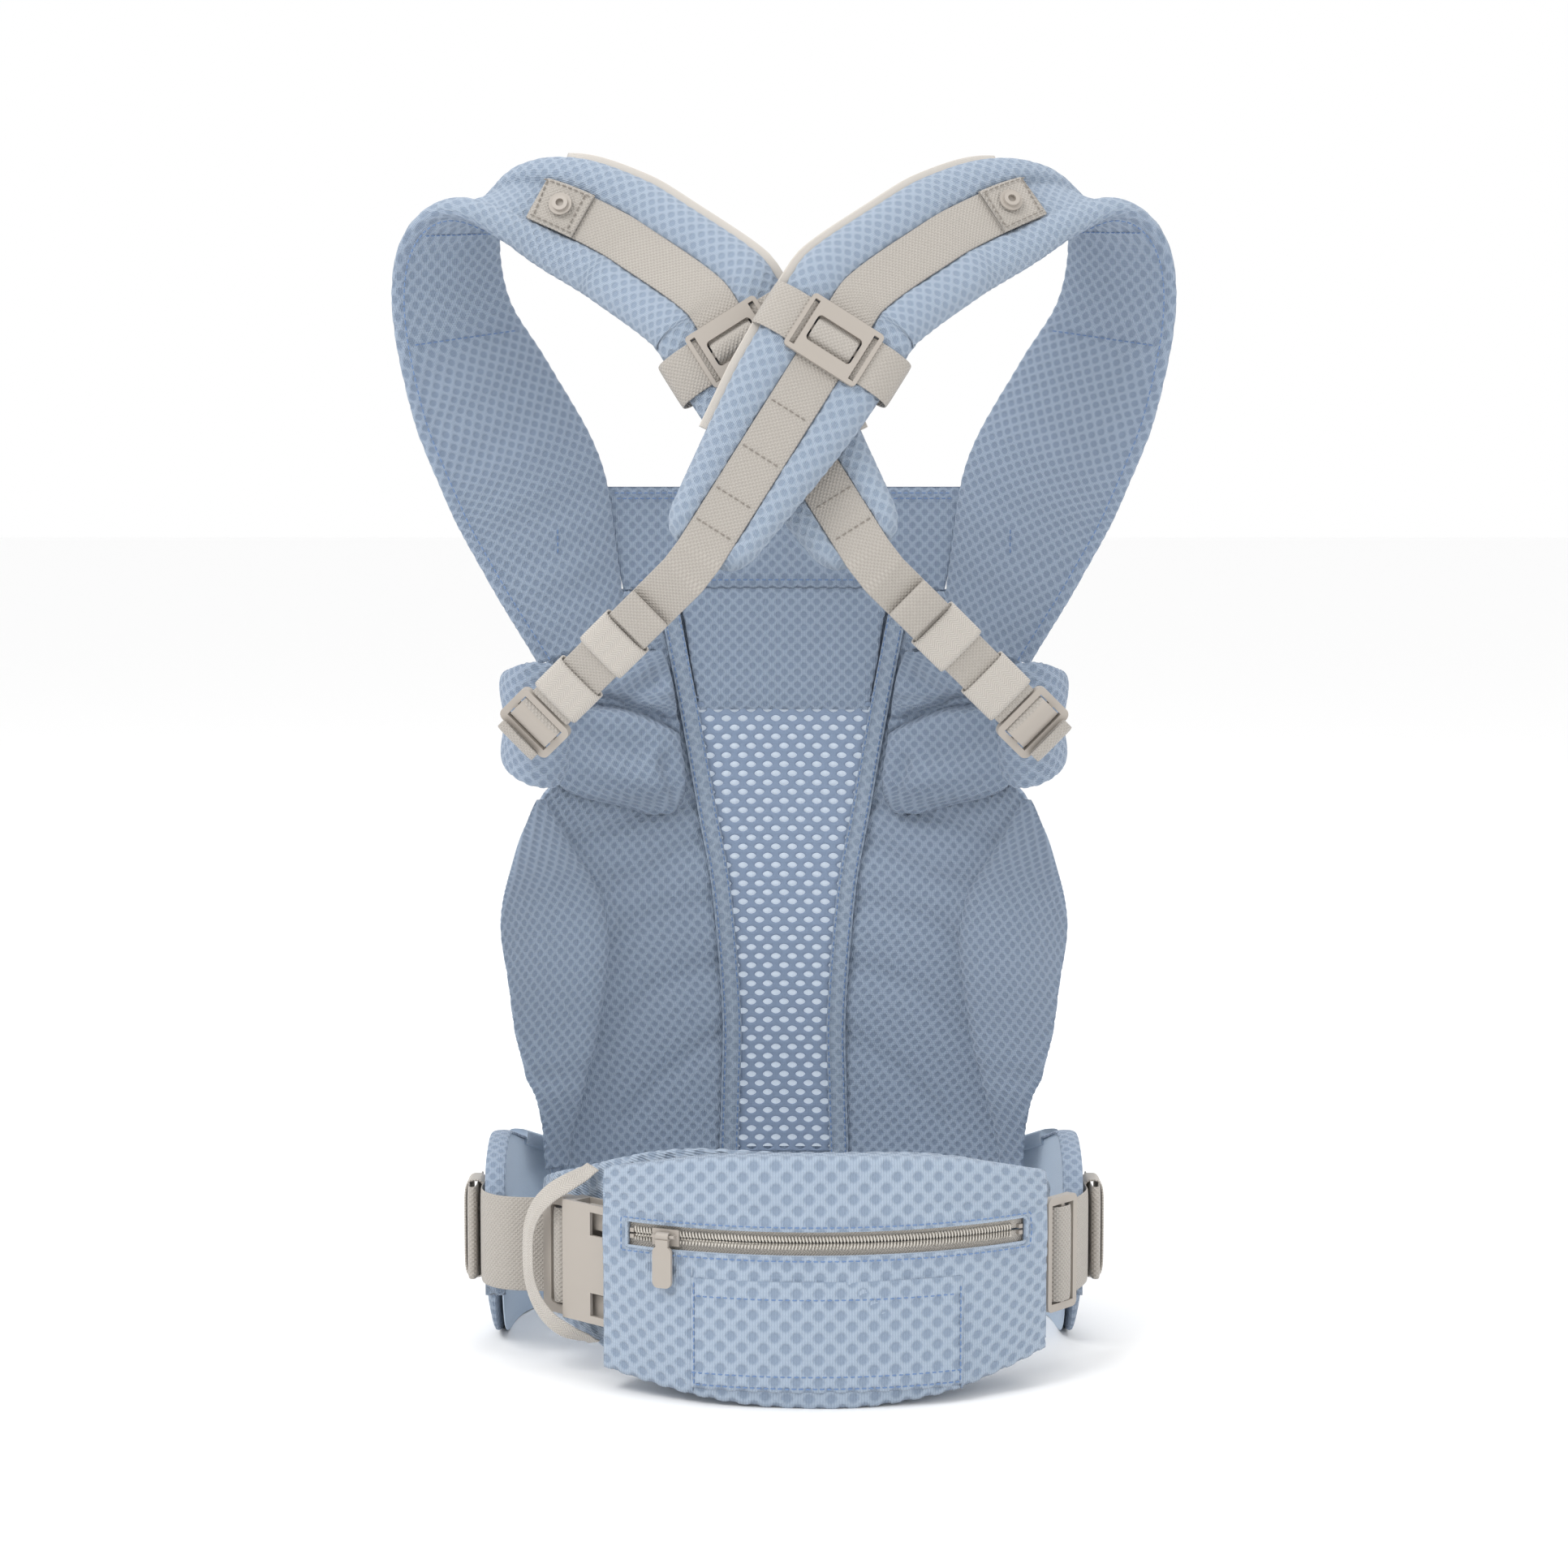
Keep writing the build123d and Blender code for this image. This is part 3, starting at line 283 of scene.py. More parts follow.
# ---------------------------------------------------------------- materials
class Shader:
    """Small helper that adds nodes to one material."""

    def __init__(self, name, roughness=0.8, sheen=0.0, specular=0.5):
        self.material = bpy.data.materials.new(name)
        self.material.use_nodes = True
        self.tree = self.material.node_tree
        self.bsdf = self.tree.nodes["Principled BSDF"]
        self.bsdf.inputs["Roughness"].default_value = roughness
        self.bsdf.inputs["Sheen Weight"].default_value = sheen
        self.bsdf.inputs["Sheen Roughness"].default_value = 0.45
        self.bsdf.inputs["Specular IOR Level"].default_value = specular

    def node(self, kind, **values):
        node = self.tree.nodes.new(kind)
        for key, value in values.items():
            if key in node.inputs:
                self.feed(node.inputs[key], value)
            else:
                setattr(node, key, value)
        return node

    def feed(self, socket, value):
        if isinstance(value, bpy.types.NodeSocket):
            self.tree.links.new(value, socket)
        else:
            socket.default_value = value

    def math(self, operation, a, b=0.0, c=0.0):
        node = self.tree.nodes.new("ShaderNodeMath")
        node.operation = operation
        for socket, value in zip(node.inputs, (a, b, c)):
            self.feed(socket, value)
        return node.outputs[0]

    def times(self, a, b):
        return self.math("MULTIPLY", a, b)

    def rest(self, a):
        return self.math("SUBTRACT", 1.0, a)

    def uv(self):
        """The cloth coordinates in millimetres."""
        node = self.node("ShaderNodeUVMap", uv_map="cloth")
        split = self.node("ShaderNodeSeparateXYZ", Vector=node.outputs[0])
        return [self.times(split.outputs[k], 1000.0) for k in (0, 1)]

    def noise(self, scale, detail=3.0):
        place = self.node("ShaderNodeTexCoord").outputs["Object"]
        return self.node("ShaderNodeTexNoise", Vector=place, Scale=scale, Detail=detail).outputs["Fac"]

    def mix(self, factor, a, b):
        node = self.tree.nodes.new("ShaderNodeMix")
        node.data_type = "RGBA"
        self.feed(node.inputs["Factor"], factor)
        self.feed(node.inputs["A"], a if isinstance(a, bpy.types.NodeSocket) else (*a, 1))
        self.feed(node.inputs["B"], b if isinstance(b, bpy.types.NodeSocket) else (*b, 1))
        return node.outputs["Result"]

    def mottle(self, base, deep, scale, share):
        """Cloudy colour variation."""
        return self.mix(self.times(self.noise(scale), share), base, deep)

    def shade(self, base, deep, height, share):
        """Painted shade: darker colour where the height is low."""
        return self.mix(self.times(self.rest(height), share), base, deep)

    def ridge(self, coordinate, pitch):
        """0 to 1 to 0 once per pitch."""
        t = self.math("FRACT", self.math("DIVIDE", coordinate, pitch))
        return self.rest(self.math("ABSOLUTE", self.math("MULTIPLY_ADD", t, 2.0, -1.0)))

    def finish(self, colour, height, distance, strength=0.8):
        self.tree.links.new(colour, self.bsdf.inputs["Base Color"])
        bump = self.node("ShaderNodeBump", Height=height, Distance=distance, Strength=strength)
        self.tree.links.new(bump.outputs[0], self.bsdf.inputs["Normal"])
        return self.material


def tint(r, g, b):
    """Colour as linear values, from the 8-bit colour that it shows in the studio light; some colours below
    hold painted shade or painted light.
    """
    return tuple(0.86 * ((c / 255 + 0.055) / 1.055) ** 2.4 for c in (r, g, b))


# The DEEP colours are each cloth's dark end: painted shade in its dimples and weave grooves, and the dark
# side of its random mottle.
LIGHT_BLUE, DEEP_BLUE = tint(192, 206, 222), tint(134, 151, 174)
# SHADE_BLUE and SHADE_DEEP are a slightly darker copy of the blue mesh colours, painted shade; the plain mesh
# on the seat, its pads, the waistband and the strap pads' inner faces uses it.
SHADE_BLUE, SHADE_DEEP = tint(186, 201, 220), tint(128, 145, 169)
GREY, DEEP_GREY = tint(216, 210, 202), tint(152, 145, 137)


def mesh_cloth(name, kind, light, deep, depth):
    """Knitted spacer mesh: staggered dimples between light ridges, over fine upright ribs, with painted shade
    darkening the dimples and the grooves between the ribs.
    """
    wide, row, _ = DIMPLES[kind]
    s = Shader(name, roughness=0.85, sheen=0.2, specular=0.15)
    u, v = s.uv()
    a = s.math("COSINE", s.times(u, 2 * pi / wide))
    b = s.math("COSINE", s.times(v, pi / row))
    wave = s.math("ABSOLUTE", s.math("ADD", a, b))
    hole = s.node("ShaderNodeMapRange", **{"Value": wave, "From Min": 0.5, "From Max": 1.3}).outputs[0]
    ribs, rows = s.ridge(u, wide / 8), s.ridge(v, row / 3)
    knit = s.times(ribs, s.math("MULTIPLY_ADD", rows, 0.45, 0.55))
    # Painted shade: the dimples are darkened by depth, and the grooves between the ribs by half.
    base = s.mix(s.times(hole, depth), light, deep)
    base = s.shade(base, deep, knit, 0.5)
    base = s.mottle(base, deep, 14.0, 0.16)
    height = s.math("SUBTRACT", s.times(knit, 0.5), s.times(hole, 0.6))
    return s.finish(base, height, 0.0011)


def twill_cloth(name, light, deep):
    """Fine diagonal knit on the outside of the straps and pads, with faint dimples."""
    s = Shader(name, roughness=0.8, sheen=0.3, specular=0.2)
    u, v = s.uv()
    slant = s.ridge(s.math("ADD", u, s.times(v, 1.0)), 1.5)
    back = s.ridge(s.math("SUBTRACT", u, s.times(v, 0.8)), 2.6)
    cross = s.times(slant, s.math("MULTIPLY_ADD", back, 0.5, 0.5))
    # Painted shade: darker in the grooves between the slanted ribs.
    base = s.shade(light, deep, cross, 0.35)
    base = s.mottle(base, deep, 18.0, 0.15)
    return s.finish(base, cross, 0.0005)


def plain_cloth(name, light, deep, glow=0.0):
    """Smooth woven cloth; glow is painted light, an emission that stands for the light that comes through a
    thin layer from behind.
    """
    s = Shader(name, roughness=0.7, sheen=0.3, specular=0.2)
    u, v = s.uv()
    weave = s.times(s.ridge(u, 0.7), s.ridge(v, 0.7))
    base = s.mottle(light, deep, 9.0, 0.25)
    # Painted light: the cloth glows in its own light colour.
    s.bsdf.inputs["Emission Color"].default_value = (*light, 1)
    s.bsdf.inputs["Emission Strength"].default_value = glow
    return s.finish(base, weave, 0.0002)


def web_cloth(name, light, deep):
    """Webbing: small woven diamonds in long rows."""
    s = Shader(name, roughness=0.62, sheen=0.15, specular=0.3)
    u, v = s.uv()
    a = s.ridge(s.math("ADD", u, v), 2.4)
    b = s.ridge(s.math("SUBTRACT", u, v), 2.4)
    weave = s.math("MAXIMUM", s.times(a, b), s.times(s.ridge(u, 1.2), 0.45))
    # Painted shade: darker in the grooves of the weave.
    base = s.shade(light, deep, weave, 0.75)
    base = s.mottle(base, deep, 20.0, 0.12)
    return s.finish(base, weave, 0.0009)


def elastic_cloth(name, light, deep):
    """Elastic with a herringbone face."""
    s = Shader(name, roughness=0.7, sheen=0.2, specular=0.25)
    u, v = s.uv()
    zig = s.times(s.ridge(u, 6.0), 3.0)
    bone = s.ridge(s.math("ADD", v, zig), 1.5)
    # Painted shade: darker in the grooves of the herringbone.
    base = s.shade(light, deep, bone, 0.5)
    return s.finish(base, bone, 0.0004)


def moulded(name, light, deep):
    """Satin moulded acetal with a fine spark-eroded grain."""
    s = Shader(name, roughness=0.42, specular=0.45)
    grain = s.noise(2200.0, 1.0)
    base = s.mottle(light, deep, 25.0, 0.18)
    rough = s.math("MULTIPLY_ADD", s.noise(60.0), 0.14, 0.36)
    s.tree.links.new(rough, s.bsdf.inputs["Roughness"])
    return s.finish(base, grain, 0.00006, 0.35)


def thread(name, colour, deep):
    s = Shader(name, roughness=0.6, sheen=0.2, specular=0.3)
    base = s.mottle(colour, deep, 300.0, 0.5)
    return s.finish(base, s.noise(1500.0, 1.0), 0.0001)


MATERIALS = {
    # The plain mesh takes the darker copy of the blue as painted shade; the soft and wide meshes take the
    # blue itself.
    "mesh": mesh_cloth("mesh_cloth", "mesh", SHADE_BLUE, SHADE_DEEP, 0.62),
    "mesh_soft": mesh_cloth("mesh_cloth_soft", "mesh_soft", LIGHT_BLUE, DEEP_BLUE, 0.55),
    "mesh_wide": mesh_cloth("mesh_cloth_wide", "mesh_wide", LIGHT_BLUE, DEEP_BLUE, 0.66),
    "net": plain_cloth("net_yarn", tint(146, 163, 188), tint(120, 138, 166)),
    # Pale sheet that glows behind the net: painted light for the light that shows through the net's holes.
    "backing": plain_cloth("backing_painted_glow", tint(222, 232, 242), tint(208, 221, 234), glow=0.5),
    "twill": twill_cloth("twill_cloth", LIGHT_BLUE, DEEP_BLUE),
    "lining": plain_cloth("lining_cloth", tint(200, 217, 235), tint(182, 201, 223)),
    "webbing": web_cloth("woven_webbing", GREY, DEEP_GREY),
    "elastic": elastic_cloth("herringbone_elastic", GREY, DEEP_GREY),
    "trim": plain_cloth("grey_trim", GREY, DEEP_GREY),
    "plastic": moulded("moulded_plastic", tint(180, 172, 163), tint(163, 155, 146)),
    "blue_thread": thread("blue_thread", tint(120, 148, 190), tint(96, 124, 168)),
    "coil": moulded("zip_nylon", tint(224, 218, 208), tint(196, 189, 180)),
    "grey_thread": thread("grey_thread", tint(150, 143, 135), tint(128, 121, 113)),
}


# ---------------------------------------------------------------- stitching
def stitches(name, lines, body, material="blue_thread", slot="mesh_fabric"):
    """Rows of thread stitches; lines is a list of (points, normals)."""
    ring, length, gap, radius, fine_step = 6, 2.6, 1.3, 0.4, 0.5
    angles = np.arange(ring) * 2 * pi / ring
    profile = [(-0.5, 0.25), (-0.32, 1.0), (0.32, 1.0), (0.5, 0.25)]
    verts, faces = [], []
    for points, normal in lines:
        normal = np.broadcast_to(np.array(normal, float), (len(points), 3))
        fine = even(points, fine_step)
        s = travelled(np.array(points, float))
        t = np.linspace(0, 1, len(fine))
        up = unit(np.stack([np.interp(t, s / max(s[-1], 1e-6), normal[:, k]) for k in range(3)], 1))
        step = int((length + gap) / fine_step)
        for i in range(step // 2, len(fine) - step // 2, step):
            along = unit(fine[min(i + 2, len(fine) - 1)] - fine[max(i - 2, 0)])
            side = unit(np.cross(up[i], along))
            for q, r in profile:
                centre = fine[i] + along * q * length + up[i] * radius * (0.5 if r > 0.5 else -0.2)
                around_it = side * np.cos(angles)[:, None] + up[i] * np.sin(angles)[:, None]
                verts += list(centre + radius * r * around_it)
            base = len(verts) - ring * len(profile)
            for q in range(len(profile) - 1):
                for k in range(ring):
                    a, b = base + q * ring + k, base + q * ring + (k + 1) % ring
                    faces.append([a, b, b + ring, a + ring])
            faces.append([base + k for k in range(ring)][::-1])
            faces.append([base + (len(profile) - 1) * ring + k for k in range(ring)])
    corners = sum(len(f) for f in faces)
    obj = make_object(name, np.array(verts), faces, np.zeros((corners, 2)), material)
    place(obj, body, slot)


# ---------------------------------------------------------------- lofted strips and pads
def turned(points, across):
    """Frames along a line: points, across and outward directions."""
    p = np.array(points, float)
    along = unit(np.gradient(p, axis=0))
    across = np.broadcast_to(np.array(across, float), p.shape)
    across = unit(across - along * (across * along).sum(1, keepdims=True))
    return p, across, np.cross(along, across)


def ribbon(name, frames, width, material, thickness=WEB_T, bow=0.0):
    """Flat woven strip with rounded edges along the given frames; bow crowns its middle."""
    o, a, n = frames
    t = around(28)
    w = powered(np.cos(t), 0.35) * width / 2
    h = powered(np.sin(t), 0.7) * thickness / 2
    h = h + bow * (1 - (2 * w / width) ** 2)
    P = o[:, None] + a[:, None] * w[None, :, None] + n[:, None] * h[None, :, None]
    return grid(name, P, material, closed=True, caps=True)


def webbing(name, frames, side, body, *nodes, width=STRAP_WEB, thickness=WEB_T):
    """Strip of shoulder webbing, drawn for the right side."""
    obj = ribbon(f"{name}_{side}_woven", flip(frames, side), width, "webbing", thickness)
    return place(obj, body, "webbing", *nodes)


def tube(name, points, radius, material, ring=10):
    """Round cord or piping along a line."""
    p, a, n = turned(points, (0.3, 0.2, 0.9))
    t = around(ring)
    P = p[:, None] + radius * (a[:, None] * np.cos(t)[None, :, None] + n[:, None] * np.sin(t)[None, :, None])
    return grid(name, P, material, closed=True, caps=True)


# ---------------------------------------------------------------- shoulder straps
def run_axes():
    along = unit(RUN_END - RUN_START)
    across = unit(RUN_ACROSS - along * (RUN_ACROSS @ along))
    return along, across, np.cross(along, across)


def strap_stations(side, step=2.0):
    """Frames and half widths along a padded strap, drawn for the right shoulder."""
    along, across, _ = run_axes()
    last, half = len(NECK_EDGE), RUN_HALF_WIDTHS[0]
    run_length = np.linalg.norm(RUN_END - RUN_START)
    ends = [RUN_START - across * half, RUN_START + across * half]
    next_point = [e + along * 30 for e in ends]
    count = 12 * last
    edges = [curve(list(e) + [a, b], 12 * (last + 1) + 1)[:count + 1]
             for e, a, b in zip((NECK_EDGE, ARM_EDGE), ends, next_point)]
    p = np.linspace(0, last, count + 1)
    late = capped((p - 7) / (last - 7))
    shift = np.outer(LIFTS[side] * late**2 * (3 - 2 * late), [0, 1, 0])
    neck, arm = edges[0] + shift, edges[1] + shift
    steps = len(RUN_HALF_WIDTHS) - 1
    f = np.linspace(0, 1, 50)[1:]
    widths = np.interp(f * steps, np.arange(steps + 1), RUN_HALF_WIDTHS)
    centre = RUN_START + np.outer(f * run_length, along) + [0, LIFTS[side], 0]
    neck = np.vstack([neck, centre - across * widths[:, None]])
    arm = np.vstack([arm, centre + across * widths[:, None]])
    p = np.concatenate([p, last + f * steps])
    both = even(np.hstack([neck, arm, p[:, None] * 3]), step * 1.5)
    neck, arm, p = both[:, :3], both[:, 3:6], both[:, 6] / 3
    origin = (neck + arm) / 2
    o, a, n = turned(origin, unit(arm - neck))
    return o, a, n, np.linalg.norm(arm - neck, axis=1) / 2, p


def pad_height(w, p, half, squeeze):
    """Top face of a strap pad above its middle: two full lobes with the webbing's valley between them."""
    valley = STRAP_WEB / 2 / half
    centre, reach = (1 + valley) / 2, (1 - valley) / 2 + 0.02
    lobe = np.sqrt(np.clip(1 - ((np.abs(w) - centre) / reach) ** 2, 0, 1))
    rise = capped((p - 5.6) / 2.6) * squeeze
    plain = 4.6 * np.sqrt(capped(1 - np.abs(w) ** 6))
    return plain + rise * 5.6 * lobe


def strap_pad(side):
    o, a, n, half, p = strap_stations(side)
    m = 150
    t = around(m)
    w = powered(np.cos(t), 0.7)
    top = np.sin(t) >= 0
    s = travelled(o)
    slider = s[np.argmin(np.abs(p - 12))] + SLIDER_AT
    rows = []
    for i in range(len(o)):
        tip = np.sqrt(1 - (1 - capped((s[-1] - s[i]) / 16.0)) ** 2)
        squeeze = 1 - 0.45 * np.exp(-((s[i] - slider) / 15) ** 2)
        wave = 0.35 * np.sin(s[i] * 0.11 + 2.0 * w) + 0.25 * np.sin(s[i] * 0.27)
        down = -(4.9 + 0.7 * np.cos(w * 3.0)) * np.sqrt(capped(1 - np.abs(w) ** 5))
        h = (np.where(top, pad_height(w, p[i], half[i], squeeze), down) + wave * (1 - w**2)) * max(tip, 0.04)
        width = half[i] * (0.5 + 0.5 * tip) * (1 - 0.03 * (1 - squeeze))
        rows.append(o[i] + np.outer(w * width, a[i]) + np.outer(h, n[i]))
    cover = f"strap_cover_{side}"
    obj = pad(cover + "_cloth", np.array(rows), "mesh_soft", "panel", [cover], side)
    # The pad's inner faces take the plain mesh, whose darker copy of the blue is painted shade.
    obj.data.materials.append(MATERIALS["mesh"])
    column = np.arange(len(obj.data.polygons)) % m
    inside = (column >= m // 2) & (np.arange(len(column)) < (len(o) - 1) * m)
    obj.data.polygons.foreach_set("material_index", inside.astype(np.int32))
    yoke_seams(side)


def seam(points, normal, side):
    """Points and normals of one row of stitches, drawn for the right side."""
    return mirrored(np.array(points), side), mirrored(np.array(normal), side)


def yoke_seams(side):
    """Stitching inside the yoke: along its outer edge, across the shoulder and a short bar tack."""
    o, a, n, half, p = strap_stations(side)
    keep = p < 7.5
    lines = [seam((o + a * (half - 4.5)[:, None] - n * 5.2)[keep], -n[keep], side)]
    for at, lean in ((3.9, 9.0), (6.1, 0.0)):
        i = int(np.argmin(np.abs(p - at)))
        w = np.linspace(-0.92, 0.86, 14)
        row = [o[i] + a[i] * half[i] * x - n[i] * 5.5 + np.array([0, 0, lean * x]) for x in w]
        lines.append(seam(row, -n[i], side))
    i = int(np.argmin(np.abs(p - 1.3)))
    tack = [o[i] - a[i] * 4 - n[i] * 5.6 + np.array([0, 0, z]) for z in (-8.0, 0.0, 8.0)]
    lines.append(seam(tack, -n[i], side))
    stitches(f"yoke_stitches_{side}", lines, "panel")


def chosen(stations, low, high):
    """The part of a strap between two places, numbered along its edges' points."""
    keep = (stations[4] >= low) & (stations[4] <= high)
    return [x[keep] for x in stations]


def low_axes(side):
    """Start point, axes and length of the straight webbing between the pad and the ladder lock."""
    along, across, out = run_axes()
    length = np.linalg.norm(RUN_END - RUN_START)
    start = RUN_START + along * (length + 8) + out * (STRAP_T / 2 + WEB_GAP + WEB_T / 2) + [0, LIFTS[side], 0]
    reach = np.linalg.norm(LOCK_CENTRE - start)
    along = unit(LOCK_CENTRE - start)
    across = unit(LOW_ACROSS - along * (LOW_ACROSS @ along))
    return start, along, across, np.cross(along, across), reach


def from_low(side, places):
    """Frames of the lower webbing from (distance, height) pairs."""
    start, along, across, out, _ = low_axes(side)
    pts = np.array([start + along * d + out * h for d, h in places])
    return turned(even(curve(pts, 60), 1.5), across)


def strap_webbing(side):
    stations = strap_stations(side)
    o, a, n, *_ = chosen(stations, WEBBING_FROM, 99)
    lay = STRAP_T / 2 + WEB_GAP + WEB_T / 2
    upper = o + n * lay
    start, along, across, _, reach = low_axes(side)
    lower = [start + along * d for d in np.linspace(6, reach - LOCK_L / 2 + 1, 40)]
    line = even(np.vstack([upper, lower]), 2.0)
    nearest = np.array([np.argmin(np.linalg.norm(upper - q, axis=1)) for q in line])
    ac = a[nearest]
    past = (line - upper[-1]) @ along
    ac = np.where((past > 0)[:, None], ac + (across - ac) * capped(past / 15)[:, None], ac)
    webbing("strap_webbing", turned(line, ac), side, "panel", f"strap_webbing_{side}")
    f, g, h, *_ = chosen(stations, WEBBING_FROM, FLAP_TO)
    frames = turned(f + h * (lay + WEB_T + 0.3), g)
    flap = webbing("strap_flap", frames, side, "panel", width=STRAP_WEB + 1, thickness=1.8)
    lines = []
    for at in (WEBBING_FROM + 0.12, FLAP_TO - 0.12, 14.2, 15.1, 15.9, 16.5):
        i = int(np.argmin(np.abs(stations[4] - at)))
        base = stations[0][i] + stations[2][i] * (lay + WEB_T / 2 + (WEB_T + 0.9 if at < FLAP_TO else 0.0))
        lines.append(seam([base + stations[1][i] * x for x in (-11, 0, 11)], stations[2][i], side))
    for x in (-11, 11):
        lines.append(seam(f + g * x + h * (lay + WEB_T * 1.5 + 0.9), h, side))
    stitches(f"webbing_stitches_{side}", lines, "panel", "grey_thread", "webbing")
    return flap


def strap_piping(side):
    o, a, n, half, _ = chosen(strap_stations(side), 8.6, 15.2)
    points = o - a * (half + 1.5)[:, None] + n * 0.4
    obj = ribbon(f"strap_piping_{side}_tape", flip(turned(points, a), side), 5.0, "trim", 1.6)
    return place(obj, "panel", "webbing")


def keeper(which, side, at):
    """Elastic ring round the lower webbing and its tail."""
    body = f"keeper_{which}_{side}"
    start, along, across, out, reach = low_axes(side)
    centre = start + along * (reach - at) + out * 1.15
    t = around(48)
    w = powered(np.cos(t), 0.4) * (STRAP_WEB / 2 + 1.6)
    h = powered(np.sin(t), 0.6) * 3.3
    x = np.linspace(-KEEPER_L / 2, KEEPER_L / 2, 10)
    outer = centre + along * x[:, None, None] + across * w[None, :, None] + out * h[None, :, None]
    obj = thick(grid(body + "_elastic", mirrored(outer, side), "elastic", closed=True), 1.1)
    place(obj, body, "webbing", body)


def strap_tail(side):
    """Free end of the webbing, folded back on itself under the keepers."""
    *_, reach = low_axes(side)
    top, roll = reach - TAIL_ROLL[0], reach - TAIL_ROLL[1]
    path = [(reach - LOCK_L / 2 - 1, 2.1), (reach - 50, 2.2), (roll, 2.3), (top + 4, 2.6), (top, 4.2),
            (top + 4, 5.9), (roll - 6, 6.2), (roll, 5.4)]
    webbing("strap_tail", from_low(side, path), side, "panel", f"strap_tail_{side}", thickness=1.4)


def slider_band(side):
    """Band round the padded strap, and the webbing that humps up through the slider's frame."""
    along, across, out = run_axes()
    centre = RUN_START + along * SLIDER_AT + out * STRAP_T / 2 + np.array([0, LIFTS[side], 0])
    right = [(15.8, 3.2), (19, 4.2), (23, 4.3), (28, 3.9), (33, 2.4), (37.5, -0.2), (39.6, -4.5),
             (39.0, -8.5), (36, -11.4), (30, -12.6), (15, -12.8), (0, -12.8)]
    ring = curve(right + [(-w, n) for w, n in right[-2::-1]], 150)
    pts = centre + np.outer(ring[:, 0], across) + np.outer(ring[:, 1], out)
    webbing("slider_band", turned(pts, along), side, f"slider_{side}", f"slider_band_{side}", thickness=1.3)
    hump = curve([(-9.5, 2.0), (-6.0, 3.4), (-3.4, 6.4), (0, 7.2), (3.4, 6.4), (6.0, 3.4), (9.5, 2.0)], 40)
    pts = centre + np.outer(hump[:, 0], along) + np.outer(hump[:, 1], out)
    webbing("slider_hump", turned(pts, across), side, f"slider_{side}", width=24.0, thickness=1.5)


def lock_webbing(side):
    """Webbing that turns round the ladder lock's bar, and the anchor that holds the lock to its cuff."""
    _, along, _, out, base = low_axes(side)
    turn = [(base - 12, 0.2), (base - 8.6, 0.4), (base - 6.4, 3.6), (base - 3, 5.0), (base + 1, 5.0),
            (base + 4.6, 3.6), (base + 7, 0.0), (base + 5, -2.4)]
    webbing("lock_turn", from_low(side, turn), side, f"ladder_lock_{side}", thickness=1.4)
    back = [(base + 17.6 + d * along[1], -2.4 + d * out[1]) for d in (9, 19, 29)]
    anchor = [(base + 9.5, 6.4), (base + 14.5, 5.4), (base + 17.8, 2.0), (base + 17.9, -0.8)] + back
    return webbing("lock_anchor", from_low(side, anchor), side, "panel", thickness=1.6)


# ---------------------------------------------------------------- seat panel
def trough_angle(x):
    return np.arcsin(np.clip(x / BODY_A, -0.998, 0.998))


def trough(x, z, k):
    """Point k outside the inner face of the seat panel, at width x and height z."""
    phi = trough_angle(x)
    x, z, k = np.broadcast_arrays(x, z, k)
    return np.stack([(BODY_A + k) * np.sin(phi), (BODY_B + k) * np.cos(phi), z], -1)


def near_line(x, z, points):
    """Distance from each (x, z) to a polyline."""
    best = np.full(np.shape(x), 1e9)
    for (x0, z0), (x1, z1) in zip(points, points[1:]):
        dx, dz = x1 - x0, z1 - z0
        t = capped(((x - x0) * dx + (z - z0) * dz) / (dx * dx + dz * dz))
        best = np.minimum(best, np.hypot(x - x0 - t * dx, z - z0 - t * dz))
    return best


# Creases of the seat: their lines, how far each pushes the cloth outwards, and their widths.
CREASES = [([(44, 262), (80, 240), (112, 236)], 2.6, 7), ([(40, 226), (76, 216), (110, 200)], 2.2, 8),
           ([(36, 190), (74, 176), (104, 150)], 2.4, 8), ([(34, 150), (66, 128), (88, 104)], 2.2, 7),
           ([(126, 262), (104, 236), (100, 214), (107, 184), (118, 132)], -3.0, 6),
           ([(60, 330), (90, 318), (120, 322)], 2.0, 6), ([(42, 282), (78, 276), (118, 262)], 2.4, 5)]


def panel_grid(x0, x1, z0, z1, k, side="right", dimpled=True, wrinkled=True):
    """Sheet on the trough between the widths x0(z) and x1(z)."""
    rows = max(int((z1 - z0) / FINE), 6)
    z = np.linspace(z0, z1, rows)
    lo, hi = x0(z), x1(z)
    cols = max(int(np.max(hi - lo) * 1.25 / FINE), 4)
    s = np.linspace(0, 1, cols)
    x = BODY_A * np.sin(trough_angle(lo)[:, None] * (1 - s) + trough_angle(hi)[:, None] * s)
    Z = np.repeat(z[:, None], cols, 1)
    K = np.full(x.shape, float(k))
    if wrinkled:
        for line, depth, width in CREASES:
            K = K + depth * np.exp(-(near_line(np.abs(x), Z, line) / width) ** 2)
    P = trough(x, Z, K)
    uv = cloth_uv(P)
    if dimpled:
        P = sunk(P, uv, "mesh")
    return mirrored(P, side), uv


def seat_panels():
    for side in SIDES:
        P, uv = panel_grid(lambda z: lookup(BINDING_X, z) + 3.5, lambda z: lookup(SIDE_EDGE, z) - 6,
                           *SEAT_Z, LAYER["seat"], side)
        sheet(f"seat_panel_{side}_cloth", P, "mesh", 2.6, FOLD, f"seat_panel_{side}", uv=uv)
        leg_pad(side)


